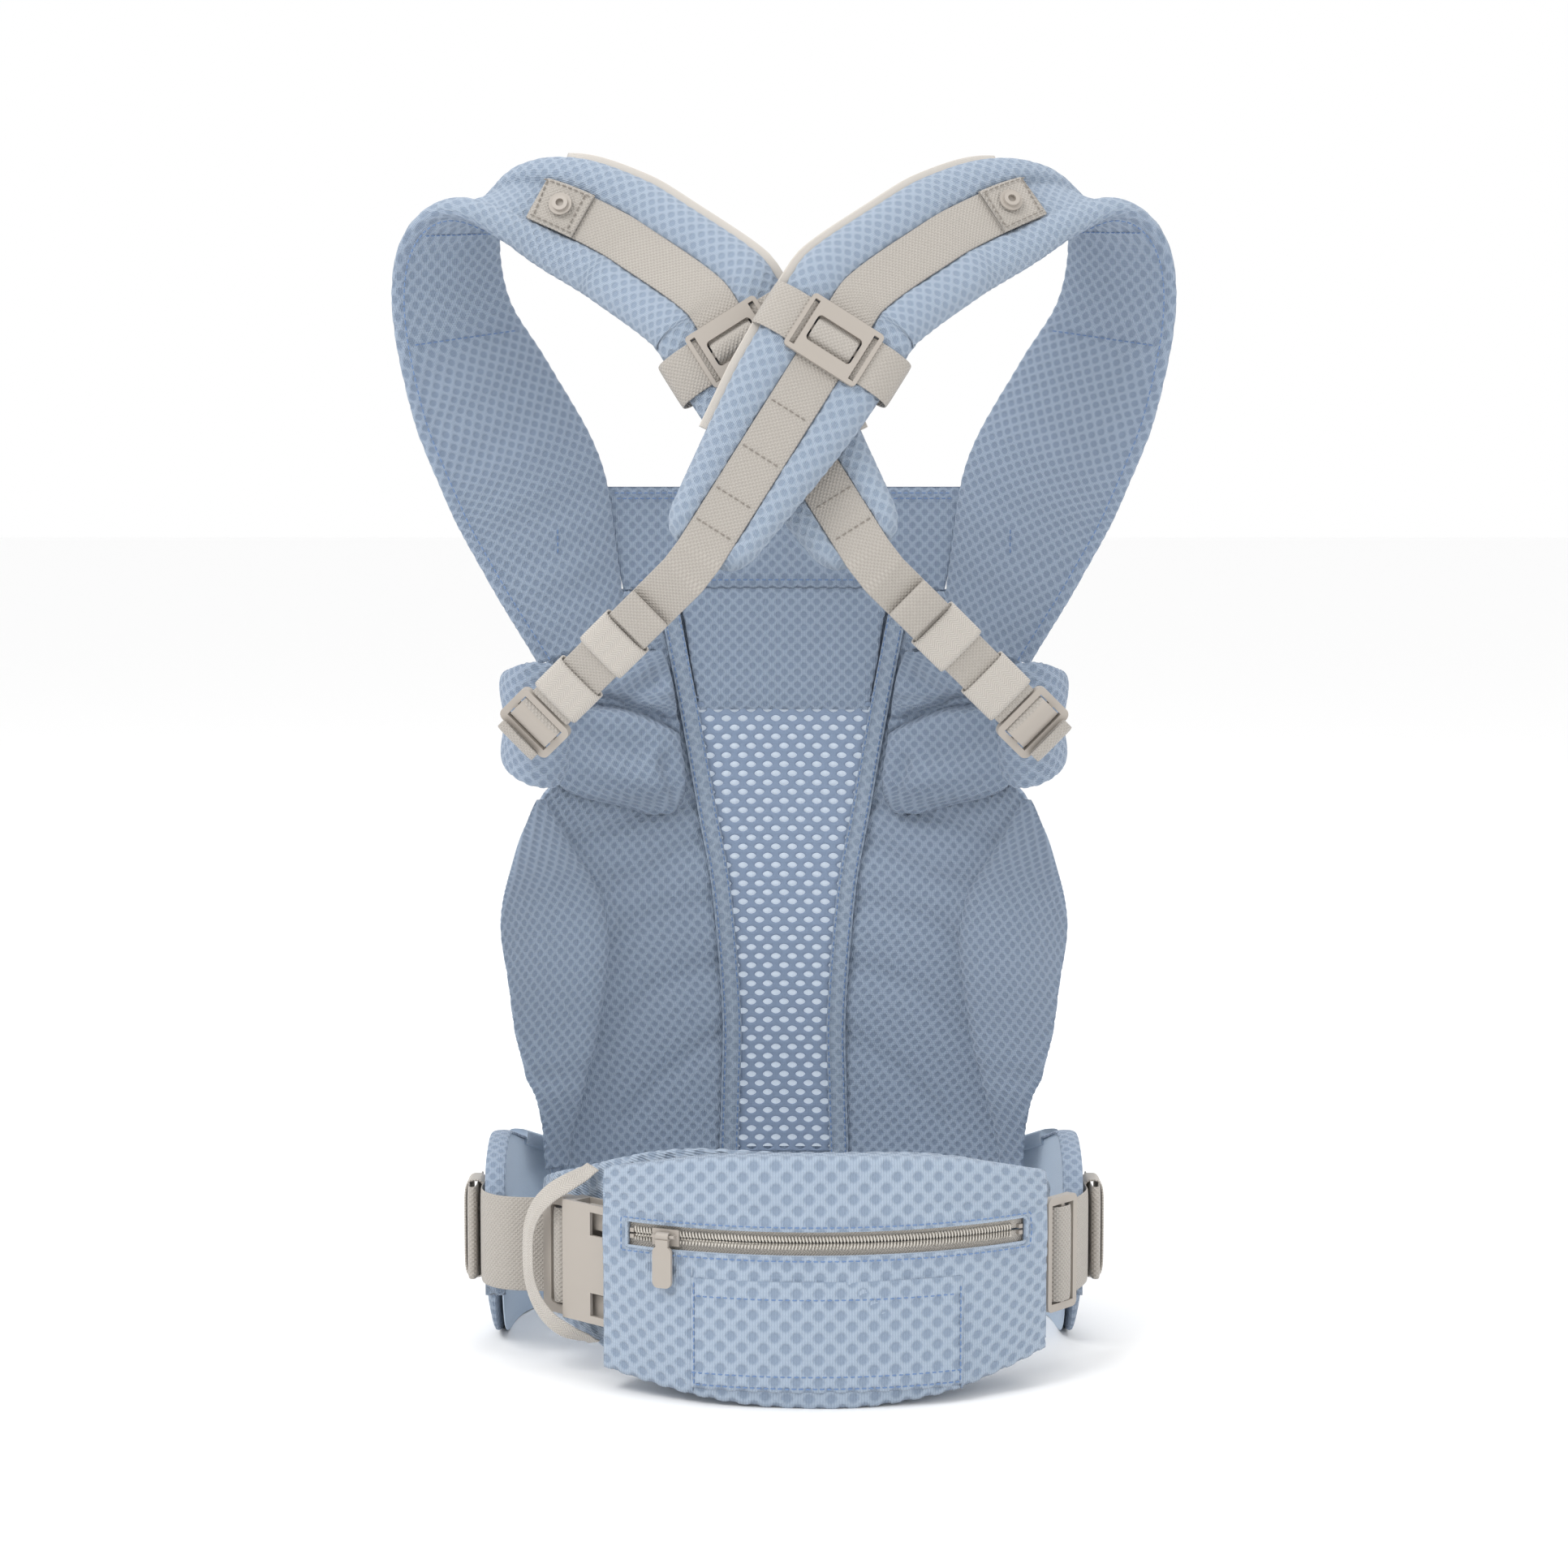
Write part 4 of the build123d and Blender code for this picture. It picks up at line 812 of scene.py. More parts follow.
def leg_pad(side):
    """Padded roll along the leg opening, its inner edge lapping over the seat panel."""
    inner = [(92, 122), (120, 117), (150, 108), (184, 103), (214, 101), (236, 106), (262, 122), (290, 134)]
    rows = max(int(210 / FINE), 8)
    z = np.linspace(82, 288, rows)
    lo, hi = lookup(inner, z), lookup(SIDE_EDGE, z)
    m = 84
    t = around(m)
    mid, half = (lo + hi) / 2, np.maximum((hi - lo) / 2, 2.0)
    ends = np.clip((z - 74) / 60, 0.2, 1) * np.clip((290 - z) / 42, 0.12, 1)
    x = mid[:, None] + half[:, None] * powered(np.cos(t), 0.85)
    lap = np.where(np.sin(t) < 0, 1.0 - 0.35 * np.cos(t), 0.55)
    k = -3.0 + 8.5 * ends[:, None] * np.sin(t) * lap + 0.8 * np.sin(z * 0.09)[:, None]
    k = k + 1.6 * np.exp(-((z - 128 - 0.8 * (x - 120).mean(1)) / 6) ** 2)[:, None]
    pad(f"leg_pad_{side}_cloth", trough(x, z[:, None], k), "mesh", FOLD, [f"leg_pad_{side}"], side)


def bindings():
    """Folded tape along both edges of the mesh window, with a row of stitches at each of its edges."""
    lines = []
    for side in SIDES:
        z = np.linspace(74, 397, 160)
        x = lookup(BINDING_X, z)
        slope = np.gradient(x, z)
        frames = turned(trough(x, z, LAYER["binding"]), np.stack([np.ones_like(x), -x / 160.0, -slope], -1))
        obj = ribbon(f"panel_binding_{side}_cloth", flip(frames, side), 10.8, "mesh_soft", 1.6, bow=0.7)
        place(obj, FOLD, "mesh_fabric", *first(side == "right", "panel_bindings"))
        for off in (-4.0, 4.0):
            row = trough(x + off, z, LAYER["binding"] - 1.2)
            lines.append(seam(row, unit(-row * [1, 1, 0]), side))
    stitches("binding_stitches", lines, FOLD)


def mesh_window():
    """Open net with diamond holes, one brick-shaped cell per hole."""
    pu, pv = 9.2, 5.2
    outer = [(-.5, -.5), (0, -.5), (.5, -.5), (.5, 0), (.5, .5), (0, .5), (-.5, .5), (-.5, 0)]
    hole = [(-.20, -.22), (0, -.38), (.20, -.22), (.34, 0), (.20, .22), (0, .38), (-.20, .22), (-.34, 0)]
    verts, faces, index = [], [], {}

    def vertex(u, v, shared):
        key = (round(u, 3), round(v, 3)) if shared else None
        if shared and key in index:
            return index[key]
        verts.append((u, v))
        if shared:
            index[key] = len(verts) - 1
        return len(verts) - 1

    for r in range(int((NET_Z[1] - NET_Z[0]) / pv) + 1):
        v0 = NET_Z[0] + (r + 0.5) * pv
        limit = float(lookup(BINDING_X, v0)) - 1.0
        for c in range(-8, 9):
            u0 = (c + 0.5 * (r % 2)) * pu
            if abs(u0) > limit:
                continue
            a = [vertex(u0 + x * pu, v0 + y * pv, True) for x, y in outer]
            b = [vertex(u0 + x * pu, v0 + y * pv, False) for x, y in hole]
            faces += [[a[i], a[(i + 1) % 8], b[(i + 1) % 8], b[i]] for i in range(8)]
    flat = np.array(verts)
    P = trough(flat[:, 0], flat[:, 1], LAYER["net"])
    uvs = np.concatenate([flat[f] for f in faces]) * 0.001
    obj = thick(make_object("mesh_window_net", P, faces, uvs, "net"), 1.4)
    smooth = obj.modifiers.new("rounding", "SUBSURF")
    smooth.levels = smooth.render_levels = 1
    place(obj, FOLD, "mesh_fabric", "mesh_window")
    sewn(size=(2 * BINDING_X[-2][1], 256))


def outer_panel():
    """Outer layer of the seat, and a pale glowing sheet behind the net, painted light for the light that
    shows through its holes.
    """
    edge = [(72, 122), (150, 128), (210, 130), (270, 122), (320, 112), (366, 104), (400, 92)]
    P, uv = panel_grid(lambda z: -lookup(edge, z), lambda z: lookup(edge, z), SEAT_Z[0], SEAT_Z[1] + 1,
                       LAYER["outer"], wrinkled=False)
    sheet("outer_panel_cloth", P, "mesh", 1.8, FOLD, "outer_panel", uv=uv)
    P, uv = panel_grid(lambda z: -lookup(BINDING_X, z), lambda z: lookup(BINDING_X, z), *BACKING_Z,
                       LAYER["backing"], dimpled=False, wrinkled=False)
    # Painted light: this pale sheet glows to light up the net's holes.
    sheet("mesh_window_glow_backing", P, "backing", 0.6, FOLD, uv=uv)


def cushion(node, outline, k, fat, body, side="right", creases=()):
    """Soft quilted panel on the trough, fat in the middle and thin at its outline of (z, x0, x1) rows."""
    z0, z1 = outline[0][0], outline[-1][0]
    z = np.linspace(z0, z1, max(int((z1 - z0) / FINE), 8))
    lo = lookup([(r[0], r[1]) for r in outline], z)
    hi = lookup([(r[0], r[2]) for r in outline], z)
    cols = max(int(np.max(hi - lo) * 1.15 / FINE), 8)
    s = np.linspace(0, 1, cols)
    x = lo[:, None] * (1 - s) + hi[:, None] * s
    Z = np.repeat(z[:, None], cols, 1)
    across = capped(1 - np.abs(2 * s - 1) ** 3.0) ** 0.6
    down = capped(1 - np.abs(2 * (z - z0) / (z1 - z0) - 1) ** 4.0) ** 0.6
    crown = down[:, None] * across[None]
    for line, depth, width in creases:
        crown = crown - depth * np.exp(-(near_line(np.abs(x), Z, line) / width) ** 2)
    sheets = []
    for sign in (-1, 1):
        P = trough(x, Z, k + sign * (0.5 + fat * crown * (1.0 if sign < 0 else 0.35)))
        uv = cloth_uv(P)
        sheets.append((sunk(P, uv, "mesh") if sign < 0 else P, uv))
    (A, uv), (B, _) = sheets
    P = np.concatenate([A, B[:, ::-1]], 1)
    wrap = np.concatenate([uv, uv[:, ::-1], uv[:, :1]], 1)
    obj = grid(node + "_cloth", mirrored(P, side), "mesh", closed=True, caps=True, uv=wrap)
    place(obj, body, "mesh_fabric", node)


def head_parts():
    """The padded rest above the net, and the head flap hinged along its top edge."""
    rest = [(334, -47, 47), (360, -52, 52), (392, -58, 58), (401, -76, 76), (402.4, -85, 85)]
    cushion("head_rest", rest, 1.2, 3.2, "panel")
    flap = [(402.2, -88, 88), (430, -94, 94), (459, -99, 99)]
    cushion("head_support", flap, 2.2, 3.4, "head_support")
    lines = []
    for z, wide, k in ((455.5, 95, -1.6), (452.5, 94, -1.8), (407, 82, -2.0)):
        x = np.linspace(-wide, wide, 60)
        row = trough(x, z, k)
        lines.append((row, unit(-row * [1, 1, 0])))
    stitches("head_support_stitches", lines, "head_support")


def side_wings():
    """Padded flaps below the arm openings, gathered towards the ladder locks."""
    outline = [(276, 64, 78), (281, 60, 92), (289, 57, 118), (300, 57, 130), (320, 60, 134), (345, 63, 132),
               (358, 66, 118), (368, 70, 88)]
    creases = [([(116, 344), (96, 339), (74, 331), (62, 326)], 1.0, 3.2),
               ([(76, 352), (94, 343), (112, 341)], 0.5, 6), ([(66, 290), (72, 306)], 0.4, 5),
               ([(126, 300), (100, 292), (76, 286)], 0.35, 4),
               ([(126, 330), (110, 318), (88, 312)], 0.3, 7)]
    for side in SIDES:
        cushion(f"side_wing_{side}", outline, -4.0, 11.0, "panel", side, creases)


def wing_cuffs():
    """Padded folded edge that curls round behind each ladder lock."""
    middle = np.array([133.0, 16.0, 0])
    for side in SIDES:
        t = np.radians(np.linspace(-62, 160, 90))
        pts = middle + np.stack([15.0 * np.cos(t), -24.0 * np.sin(t), 0 * t], -1)
        towards = np.linspace(18, 1.5, 10)[:, None] * unit(pts[0] - pts[1])
        pts = np.vstack([pts[0] + towards, pts])
        ahead = unit(np.gradient(pts, axis=0))
        out = np.column_stack([ahead[:, 1], -ahead[:, 0], ahead[:, 2]])
        out *= np.sign((out * (pts - middle)).sum())
        m = 110
        v = around(m)
        h = powered(np.sin(v), 0.75) * 4.2
        along = np.linspace(-1, 1, len(pts))
        tall = curve([(-1, 16), (-0.5, 21), (0.0, 28), (0.4, 33), (0.8, 33), (1, 30)], 120)
        tall = np.interp(along, tall[:, 0], tall[:, 1])
        height = np.interp(along, [-1, -0.4, 0.3, 1], [338, 336, 334, 331])
        z = height[:, None] + tall[:, None] * (powered(np.cos(v), 0.9))[None]
        P = pts[:, None] + out[:, None] * (h * (1 + 0.12 * np.sin(3 * v)))[None, :, None]
        P[..., 2] = z
        P[..., :2] += out[:, None, :2] * (1.3 * np.sin(z * 0.13 + 4 * along[:, None]))[..., None]
        pad(f"wing_cuff_{side}_cloth", P, "mesh", "panel", [f"wing_cuff_{side}"], side)


# ---------------------------------------------------------------- waistband
def ring_line(inset, y_end, step=1.5):
    """Plan line of the waist ring, inset from its outer face, with the outward directions."""
    a, b = RING_OUT[0] - inset, RING_OUT[1] - inset
    t = np.linspace(-90, 90, 241)
    x = a * np.sign(t) * np.abs(np.sin(np.radians(t))) ** (2 / RING_POWER)
    y = b * np.abs(np.cos(np.radians(t))) ** (2 / RING_POWER)
    wing_y = np.linspace(y_end, 0, 16)[:-1]
    wing_x = a * (1 - np.abs(wing_y / b) ** RING_POWER) ** (1 / RING_POWER)
    left, ring, right = (np.stack(xy, 1) for xy in ((-wing_x, wing_y), (x, y), (wing_x, wing_y)))
    return even(np.vstack([left, ring, right[::-1]]), step)


BAND_TOP = [(-28, 84), (-12, 100), (20, 108), (60, 98), (95, 86), (127, 84)]
BAND_BOTTOM = [(-28, 30), (-8, 9), (20, 0.4), (60, 0.4), (127, 0.4)]


def band_height(edge, line):
    """Height of the band's top or bottom edge at each point of a plan line."""
    return np.interp(line[:, 1], *curve(edge, 60).T)


def band_out(line):
    """Outward directions of a plan line of the ring."""
    tangent = unit(np.gradient(line, axis=0))
    return np.column_stack([-tangent[:, 1], tangent[:, 0]])


def band_layer(name, insets, material, slot, nodes, bulge, step):
    """One layer of the waistband between two insets from its outer face."""
    line = ring_line(0.0, -28, step)
    out = band_out(line)
    low, high = band_height(BAND_BOTTOM, line), band_height(BAND_TOP, line)
    m = 2 * int(96 / step)
    v = around(m)
    zz = powered(np.cos(v), 0.8)
    hh = powered(np.sin(v), 0.45)
    mid, half = (insets[0] + insets[1]) / 2, (insets[1] - insets[0]) / 2
    crown = bulge * (1 - zz**2)
    off = -mid + half * hh * (0.55 + 0.45 * (1 - zz**4)) + np.where(hh > 0, crown, 0)
    P = np.zeros((len(line), m, 3))
    P[..., :2] = line[:, None] + out[:, None] * off[None, :, None]
    P[..., 2] = ((low + high) / 2)[:, None] + ((high - low) / 2)[:, None] * zz[None]
    outside = np.append(hh > 0, hh[0] > 0)[None] * 1.0
    pad(name, P, material, "waist", nodes, slot=slot, mask=outside)


def waistband():
    shell, lining = ["waistband_shell", "waistband_foam"], ["waistband_lining"]
    band_layer("waistband_cloth", (0.3, 7.6), "mesh", "mesh_fabric", shell, 1.6, FINE)
    band_layer("waistband_lining_cloth", (7.8, 10.2), "lining", "smooth_lining", lining, 0.0, 2.5)
    band_binding()
    line = ring_line(5.0, 20, 2.0)
    back = line[np.abs(line[:, 0]) < 148]
    pts = np.column_stack([back, band_height(BAND_TOP, back) + 0.6])
    hem = ribbon("waistband_hem_tape", turned(pts, (0, 0, 1)), 9.0, "lining", 11.5)
    place(hem, "waist", "smooth_lining")


def band_binding():
    """Cloth folded over the top and end edges of the waistband's layers."""
    line = ring_line(5.0, -28.6, 2.0)
    out = np.column_stack([band_out(line), np.zeros(len(line))])
    top = np.column_stack([line, band_height(BAND_TOP, line) + 0.2])
    count = 30
    ends = []
    for row in (0, -1):
        x, y, z = top[row]
        rise = 31 + (z - 33) * (1 - np.linspace(0, 1, count))
        fall = np.column_stack([np.full(count, x), np.full(count, y - 0.4), rise])
        ends.append(fall if row == 0 else fall[::-1])
    pts = np.vstack([ends[0], top, ends[1]])
    side = np.vstack([np.repeat(out[:1], count, 0), out, np.repeat(out[-1:], count, 0)])
    edge = ribbon("waistband_edge_binding", turned(pts, side), 10.8, "mesh", 1.8, bow=0.8)
    place(edge, "waist", "mesh_fabric")


def arc_point(angle, radius, z):
    """Point on the front curve of the belt, by its angle from straight ahead."""
    t = np.radians(angle)
    return np.stack(np.broadcast_arrays(ARC_X + radius * np.sin(t), ARC_Y - radius * np.cos(t), z), -1)


def lens_edges(a, radius, widths, top, bottom):
    """Heights of the pad's or pouch's edges at each angle; top and bottom give left, middle and right."""
    t = (ARC_X + radius * np.sin(np.radians(a)) - widths[0]) / (widths[1] - widths[0]) * 4
    edges = []
    for (left, middle, right), shoulders in ((top, (-3, -3.5)), (bottom, (4.5, 6))):
        heights = (left, middle + shoulders[0], middle, middle + shoulders[1], right)
        edges.append(np.interp(t, *curve(list(enumerate(heights)), 80).T))
    return edges


def lumbar_pad():
    """Padded support behind the pouch."""
    ends = (-71.0, 55.0)
    step = FINE * 1.2
    a = np.linspace(*ends, int(300 / step))
    high, low = lens_edges(a, PAD_R[1], (-140, 156), (92, 124, 98), (26, 0.6, 30))
    m = 2 * int(120 / step)
    v = around(m)
    zz = powered(np.cos(v), 0.8)
    hh = powered(np.sin(v), 0.5)
    end = np.sqrt(np.clip(1 - np.abs(np.linspace(-1, 1, len(a))) ** 14, 0.02, 1))
    mid, half = (PAD_R[0] + PAD_R[1]) / 2, (PAD_R[1] - PAD_R[0]) / 2
    r = mid + half * hh[None] * end[:, None] * (0.8 + 0.2 * (1 - zz**4))[None]
    r = r - 1.5 * (np.sin(v) < 0) * (1 - zz**2)
    z = ((low + high) / 2)[:, None] + ((high - low) / 2 * (0.75 + 0.25 * end))[:, None] * zz[None]
    nodes = ["lumbar_cover", "lumbar_foam"]
    pad("lumbar_cover_cloth", arc_point(a[:, None], r, z), "mesh_wide", "waist", nodes)


def pouch():
    """Front of the storage pouch with a zip window, and its turned-back edges."""
    ends = (-36.0, 41.0)
    cols = int(246 / FINE)
    window_a = (ZIP_ANGLES[0] + 0.1, ZIP_ANGLES[1] - 0.1)
    a = np.sort(np.concatenate([np.linspace(*ends, cols), window_a]))
    high, low = lens_edges(a, POUCH_R, (-110, 150), (110.5, 126.5, 107), (17, 0.6, 26))
    w0, w1 = ZIP_Z - ZIP_WINDOW / 2 + 1.2, ZIP_Z + ZIP_WINDOW / 2 - 1.2

    def rise(count):
        return np.linspace(0, 1, count)[:, None]

    under = low + (w0 - low) * rise(max(int(70 / FINE), 5))[:-1]
    beside = w0 + (w1 - w0) * rise(max(int(ZIP_WINDOW / FINE), 4))[:-1] + 0 * low
    over = w1 + (high - w1) * rise(max(int(38 / FINE), 4))
    z = np.vstack([under, beside, over])
    height = (z - low) / (high - low)
    across = (a - ends[0]) / (ends[1] - ends[0])
    crown = np.sqrt(capped(4 * height * (1 - height))) * capped(4 * across * (1 - across))[None] ** 0.4
    r = POUCH_R - 1.0 + 2.8 * crown
    r = r + 1.1 * np.exp(-((z - 100) / 5) ** 2) * np.sin(a * 0.21)[None] + 0.5 * np.sin(a * 0.33 + z * 0.09)
    turn = rise(8)
    fall = turn[::-1]
    back_low, back_high = low + fall * 5 * (1 - fall) + 1.0 * fall, high - 1.0 * turn
    r_low, r_high = r[:1] - 17 * fall ** 1.6, r[-1:] - 17 * turn ** 1.6
    Z = np.vstack([back_low[:-1], z, back_high[1:]])
    R = np.vstack([r_low[:-1], r, r_high[1:]])
    row0 = len(under) + len(turn) - 1
    P = arc_point(a[None], R, Z)
    uv = cloth_uv(P)
    i = np.arange(len(Z) - 1)[:, None]
    middle = (a[:-1] + a[1:]) / 2
    inside = (middle > window_a[0]) & (middle < window_a[1])
    keep = ~((i >= row0) & (i < row0 + len(beside)) & inside[None])
    near_window = np.exp(-(np.maximum(np.abs(Z - ZIP_Z) - ZIP_WINDOW / 2, 0) / 3.0) ** 2)
    P = sunk(P, uv, "mesh_wide", mask=1 - near_window)
    sheet("pouch_front_cloth", P, "mesh_wide", 2.2, "waist", "pouch_panel", "pouch_lining", uv=uv, keep=keep)
    side_walls(ends)
    pouch_details(window_a, w0, w1)


def side_walls(ends):
    """The pouch's left and right ends, sewn down to the lumbar pad."""
    for name, angle, low, high in (("left", ends[0], 15, 111), ("right", ends[1], 25, 107)):
        s = np.linspace(0, 1, 10)[:, None]
        z = np.linspace(low, high, 60)[None]
        r = POUCH_R - 1.0 - 21.0 * s**1.4
        grow = -1 if name == "left" else 1
        P = arc_point(angle + grow * 1.2 * np.sin(s * pi / 2) + 0 * z, r + 0 * z, z - (z - 62) * 0.05 * s)
        sheet(f"pouch_end_{name}_cloth", P, "mesh_wide", 1.8, "waist")


def from_arc_middle(pts):
    """Outward directions of points round the front curve."""
    return unit((pts - [ARC_X, ARC_Y, 0]) * [1, 1, 0])


def on_pouch(points, lift=0.0):
    """Line on the pouch face from (angle, z) points, with its normals."""
    per_degree = 3.16
    p = even(np.array(points, float) * [per_degree, 1], 2.0) / [per_degree, 1]
    pts = arc_point(p[:, 0], POUCH_R + 1.9 + lift, p[:, 1])
    return pts, from_arc_middle(pts)


def pouch_details(window_a, w0, w1):
    """Stitches and seams of the pouch, the slip pocket and the edge of the zip window."""
    left, right, under, over = window_a[0] - 0.9, window_a[1] + 0.6, w0 - 2.2, w1 + 2.2
    box = [(left, under), (right, under), (right + 0.4, ZIP_Z), (right, over), (left, over), (left, under)]
    a0, a1, z0, z1 = -19.5, 24.0, 9.0, 65.0
    lines = [on_pouch(box, 1.2), on_pouch([(a0 + 0.8, z1 - 9), (a1 - 0.8, z1 - 9)], 1.6),
             on_pouch([(a0, 17), (a1, 17)], 1.6),
             on_pouch([(a0 + 0.5, z1 - 2), (a0 + 0.5, z0 + 2), (a1 - 0.5, z0 + 2), (a1 - 0.5, z1 - 2)], 1.6)]
    stitches("pouch_stitches", lines, "waist")
    a = np.linspace(a0, a1, max(int(140 / FINE), 10))
    z = np.linspace(z0, z1, max(int(56 / FINE), 8))[:, None]
    from_side = np.minimum(a - a0, a1 - a)[None] * 3.1
    edge = np.clip(np.minimum(from_side, z - z0), 0, 4)
    P = arc_point(a[None], POUCH_R + 1.6 + 1.4 * (edge / 4) ** 0.5, z)
    uv = cloth_uv(P)
    sheet("pouch_pocket_cloth", sunk(P, uv, "mesh_wide"), "mesh_wide", 1.6, "waist", "pouch_pocket", uv=uv)
    for side, angle in zip(SIDES, (a0, a1)):
        pts = arc_point(np.full(30, angle), POUCH_R + 1.7, np.linspace(7, 74, 30))
        place(tube(f"pouch_seam_{side}", pts, 0.6, "mesh_wide", 8), "waist", "mesh_fabric")
    left, right, under, over = window_a[0] - 0.2, window_a[1], w0 - 0.4, w1 + 0.4
    edge_line, _ = on_pouch([(left, under), (right, under), (right + 0.5, w0 + 2.5), (right + 0.5, w1 - 2.5),
                             (right, over), (left, over), (left, under)], -0.6)
    place(tube("zip_window_edge", edge_line, 0.9, "twill", 8), "waist", "mesh_fabric")


def zipper():
    """Two nylon coils on woven tape."""
    rows = ((-1, "lower"), (1, "upper"))
    pitch, steps, length = 1.7, 8, 202
    turns = int(length / pitch)
    for side, name in rows:
        t = np.linspace(0, turns, turns * steps)
        angle = ZIP_ANGLES[0] + 1.2 + t * pitch / POUCH_R * 180 / pi
        zz = ZIP_Z + side * (1.9 + 1.5 * np.cos(2 * pi * t))
        rr = POUCH_R - 0.5 + 0.7 * np.sin(2 * pi * t)
        obj = tube(f"zip_coil_{name}_teeth", arc_point(angle, rr, zz), 0.46, "coil", 6)
        place(obj, "waist", "grey_plastic", *first(side > 0, "zip_coils"))
    a = np.linspace(ZIP_ANGLES[0] - 0.8, ZIP_ANGLES[1] + 0.8, 120)
    for side, name in rows:
        z = ZIP_Z + side * np.linspace(0.5, 8.4, 8)
        P = arc_point(a[:, None], POUCH_R - 2.0, z[None])
        obj = thick(grid(f"zip_tape_{name}_cloth", P, "elastic"), 0.7)
        place(obj, "waist", "webbing", *first(side > 0, "zip_tape"))


# ---------------------------------------------------------------- waist belt
def belt_strip(name, plan):
    """Upright strip of belt webbing along a plan line of (x, y) points."""
    line = even(curve(plan, 200), 1.5)
    pts = np.column_stack([line, np.full(len(line), BELT_Z)])
    return ribbon(name, turned(pts, (0, 0, 1)), WAIST_WEB, "webbing")


def plan_on(angle, radius, pairs):
    """Plan points from (sideways, outward) pairs at a place on the front curve."""
    t = radians(angle)
    centre = arc_point(angle, radius, BELT_Z)
    sideways, outward = np.array([cos(t), sin(t), 0]), np.array([sin(t), -cos(t), 0])
    return [tuple((centre + sideways * q + outward * h)[:2]) for q, h in pairs]


def waist_belt():
    hump = plan_on(BUCKLE_ANGLE, BUCKLE_R, [(-42, -6.8), (-38, -6.8), (-32, -6.0), (-27.5, -5.4),
                                            (-24.2, -4.0), (-23.0, 0.5), (-21.2, 3.8), (-18.5, 4.8),
                                            (-15.8, 3.8), (-14.0, 0.5)])
    plan = [(-WING_X, 20), (-WING_X, 0), (-160.8, -22), (-155.5, -35), (-145, -43)] + hump
    left = belt_strip("waist_webbing_left_woven", plan)
    start, end = layout((-161, -8, BELT_Z)), layout((-136, -50, BELT_Z))
    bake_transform(left)
    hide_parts("waist_webbing_left")
    a = np.linspace(-26.5, 36, 60)
    centre = belt_strip("waist_webbing_centre_woven", arc_point(a, BELT_R, 0)[:, :2])
    place(centre, "waist", "webbing", "waist_webbing_centre")
    right = plan_on(ADJUSTER_ANGLE, ADJUSTER_R, [(-19, -3.0), (-8, -3.8), (0, -4.0), (10, -4.2), (20, -3.4)])
    right += [(160.6, -26), (WING_X, -14), (WING_X, 0), (WING_X, 20)]
    place(belt_strip("waist_webbing_right_woven", right), "waist", "webbing", "waist_webbing_wings")
    loop = plan_on(ADJUSTER_ANGLE, ADJUSTER_R, [(-8.4, -3.0), (-6.6, 1.6), (-3.6, 3.6), (0, 3.9), (3.6, 3.6),
                                                (6.6, 1.6), (8.4, -3.0)])
    place(belt_strip("waist_adjuster_loop_woven", loop), "waist", "webbing")
    fold = [(3.2, 24), (3.2, 2), (3.4, -14), (4.2, -18.6), (6.4, -18.6), (7.4, -14), (7.8, 2), (7.4, 14)]
    for side, label in ((-1, "left"), (1, "right")):
        tail = belt_strip(f"waist_tail_{label}_woven", [(side * (WING_X + n), y) for n, y in fold])
        place(tail, "waist", "webbing", *first(side > 0, "waist_tails"))
        waist_keeper(side, label)


def waist_keeper(side, label):
    """Elastic keeper round the folded belt end."""
    t = around(60)
    n = 4.6 + powered(np.cos(t), 0.6) * 5.4
    z = BELT_Z + powered(np.sin(t), 0.3) * 26.2
    y = np.linspace(-8.5, 9.5, 12)
    P = np.stack(np.broadcast_arrays(side * (WING_X + n)[None], 1.0 + y[:, None], z[None]), -1)
    obj = thick(grid(f"waist_keeper_{label}_elastic", P, "elastic", closed=True), 1.0)
    place(obj, "waist", "webbing", *first(side > 0, "waist_keepers"))


def safety_loop():
    """Elastic loop that hangs round the buckle's strap."""
    upper = [(-99, -69, 108), (-104, -72.5, 105), (-112, -76, 101), (-121, -75, 95), (-128.4, -70.5, 86),
             (-132.4, -66.8, 75)]
    lower = [(x, y, 2 * BELT_Z - z) for x, y, z in upper[::-1]]
    line = even(curve(upper + [(-133.2, -66, BELT_Z)] + lower, 160), 1.5)
    across = np.cross(from_arc_middle(line), np.gradient(line, axis=0))
    obj = ribbon("safety_loop_elastic", turned(line, across), 10.0, "elastic", 1.3)
    place(obj, "waist", "webbing", "safety_loop")


# ---------------------------------------------------------------- moulded plastic
def plastic_parts():
    """Moulded pieces with their edges rounded, each a copy in the place of its CAD node."""
    names = ["buckle_socket", "buckle_plug", "buckle_arm_upper", "buckle_arm_lower", "waist_adjuster",
             "zip_slider", "zip_pull", "zip_stops", "snap_sockets"]
    names += [f"{part}_{side}" for part in ("slider_frame", "ladder_lock") for side in SIDES]
    bodies = frame["record"]["behaviour"]["bodies"]
    body_of = {node: body for body, nodes in bodies.items() for node in nodes}
    for name in names:
        mesh = frame["nodes"][name].data.copy()
        mesh.materials.clear()
        mesh.materials.append(MATERIALS["plastic"])
        obj = bpy.data.objects.new(name + "_moulded", mesh)
        bpy.context.scene.collection.objects.link(obj)
        edge = obj.modifiers.new("rounding", "BEVEL")
        edge.width = 0.0003 if name.startswith(("zip", "snap")) else 0.001
        edge.segments, edge.limit_method, edge.angle_limit = 3, "ANGLE", radians(40)
        edge.harden_normals = True
        place(obj, body_of[name], "grey_plastic", name)


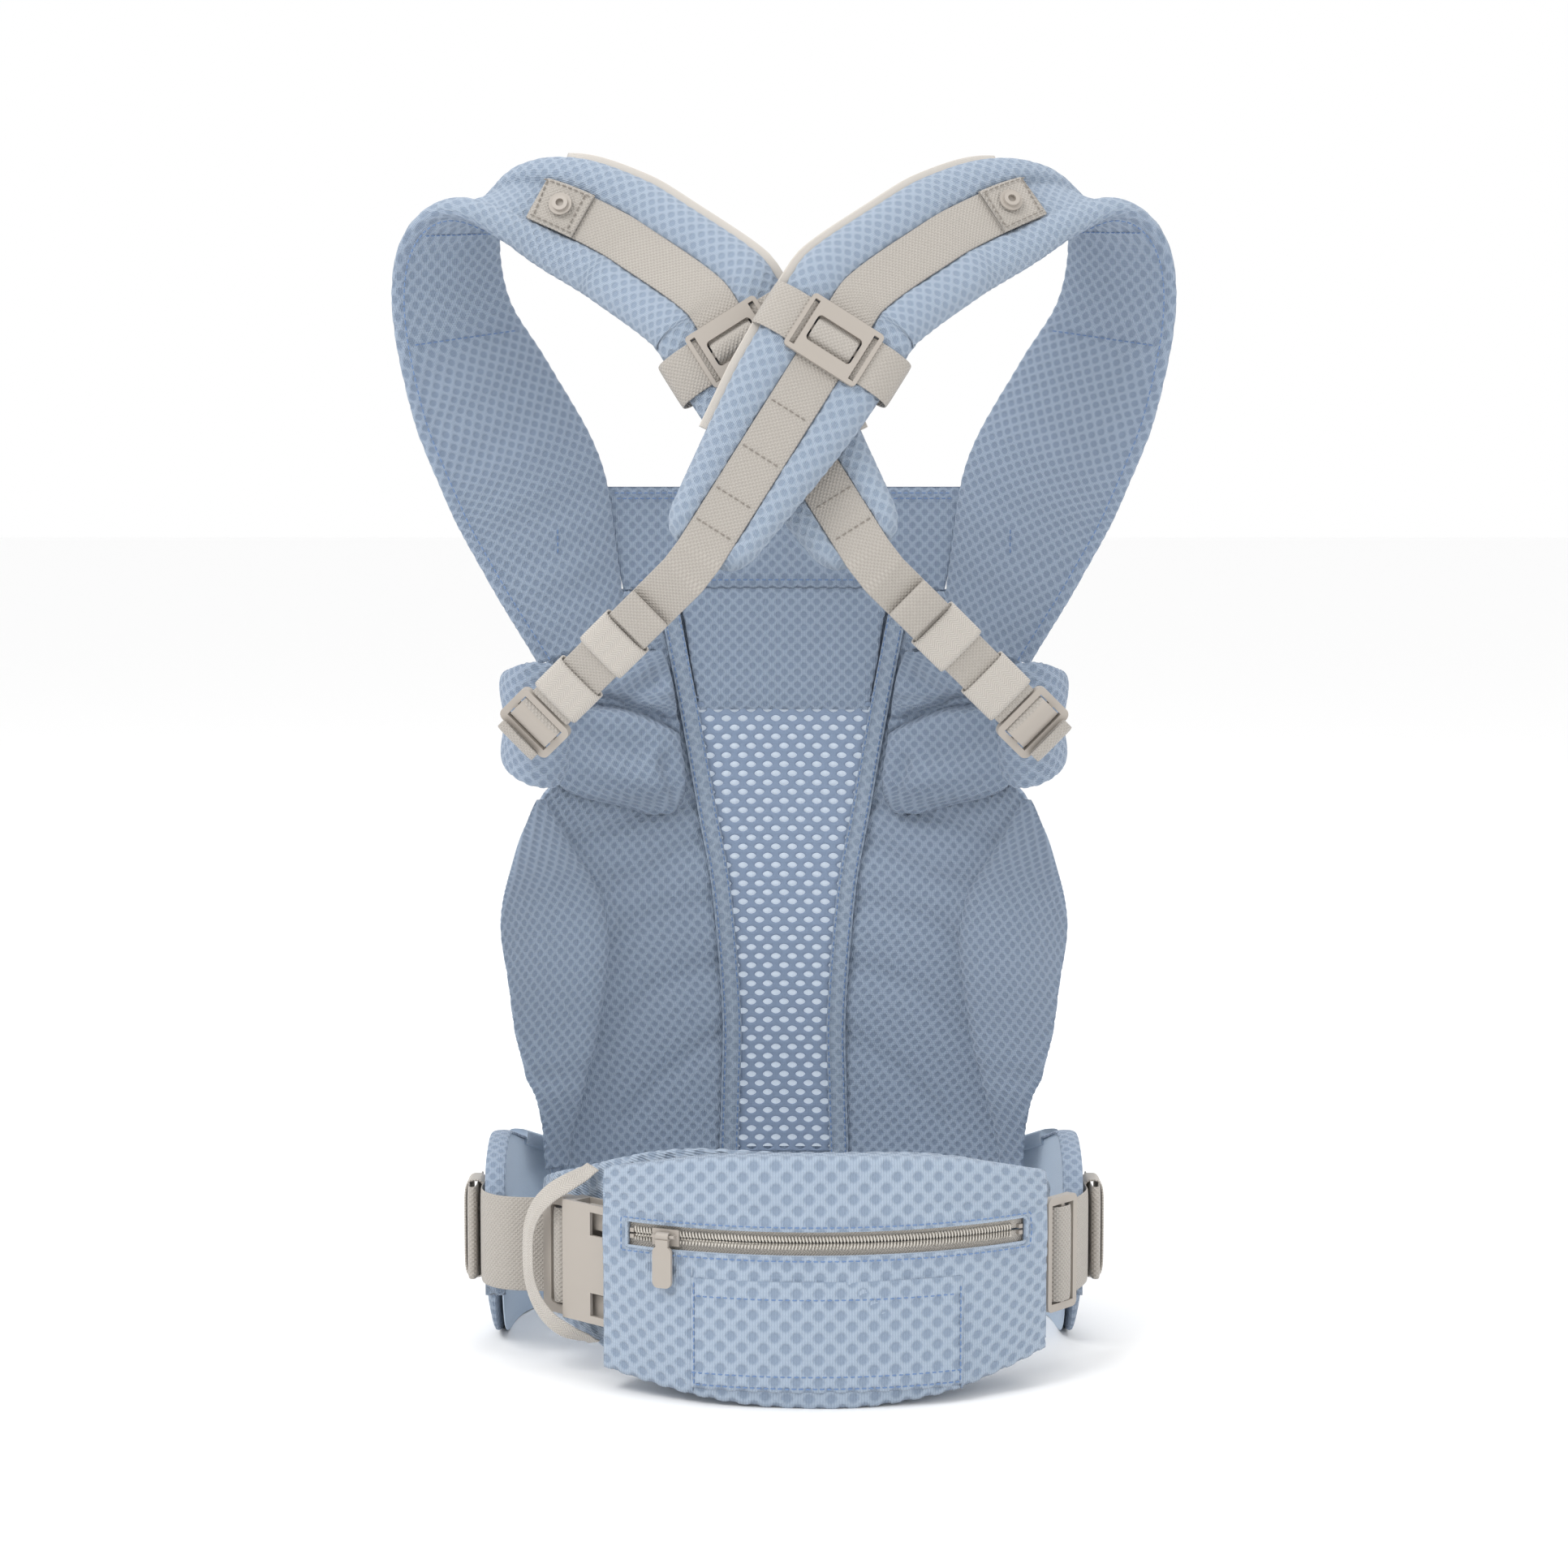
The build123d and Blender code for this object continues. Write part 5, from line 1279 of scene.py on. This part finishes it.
# ---------------------------------------------------------------- stage
def stage():
    """Pale floor, soft studio light and the camera."""
    scene = bpy.context.scene
    scene.view_settings.view_transform = "Standard"
    bpy.ops.mesh.primitive_plane_add(size=60, location=(0, 0, 0))
    floor = bpy.context.object
    floor.name = "floor"
    pale = Shader("pale_floor", roughness=0.9)
    pale.bsdf.inputs["Base Color"].default_value = (0.97, 0.97, 0.97, 1)
    floor.data.materials.append(pale.material)
    scene.world = bpy.data.worlds.new("studio")
    scene.world.use_nodes = True
    background = scene.world.node_tree.nodes["Background"].inputs
    background["Color"].default_value = (1, 1, 1, 1)
    background["Strength"].default_value = 1.0
    lamps = [("key", (-1.3, -1.3, 2.3), 1.1, 30.0), ("fill", (1.8, -1.4, 1.0), 1.6, 5.0),
             ("top", (0.2, 0.4, 2.4), 1.8, 14.0)]
    for name, where, size, power in lamps:
        data = bpy.data.lights.new(name, "AREA")
        data.size, data.energy = size, power
        lamp = bpy.data.objects.new(name, data)
        lamp.location = where
        aim = bpy.data.objects.new(name + "_aim", None)
        aim.location = (0, 0, 0.3)
        for obj in (lamp, aim):
            scene.collection.objects.link(obj)
        track = lamp.constraints.new("TRACK_TO")
        track.target = aim
    distance, elevation, focal = 1.8, radians(5.0), 77.5
    camera = bpy.data.objects.new("camera", bpy.data.cameras.new("camera"))
    camera.data.lens, camera.data.sensor_width = focal, 36.0
    camera.location = (0, Y_SHIFT * 0.001 - distance * cos(elevation), 0.301 + distance * sin(elevation))
    camera.rotation_euler = (pi / 2 - elevation, 0, 0)
    scene.collection.objects.link(camera)
    scene.camera = camera


stage()
for strap_side in ("right", "left"):
    strap_pad(strap_side)
    strap_flap = strap_webbing(strap_side)
    piping = strap_piping(strap_side)
    keeper("upper", strap_side, KEEPERS_AT[0])
    keeper("lower", strap_side, KEEPERS_AT[1])
    strap_tail(strap_side)
    slider_band(strap_side)
    anchor = lock_webbing(strap_side)
    if strap_side == "right":
        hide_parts("strap_flaps")
        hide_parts("strap_piping")
        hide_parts("lock_anchors")
        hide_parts("strap_foam")
seat_panels()
bindings()
mesh_window()
outer_panel()
head_parts()
side_wings()
wing_cuffs()
waistband()
lumbar_pad()
pouch()
zipper()
waist_belt()
safety_loop()
plastic_parts()
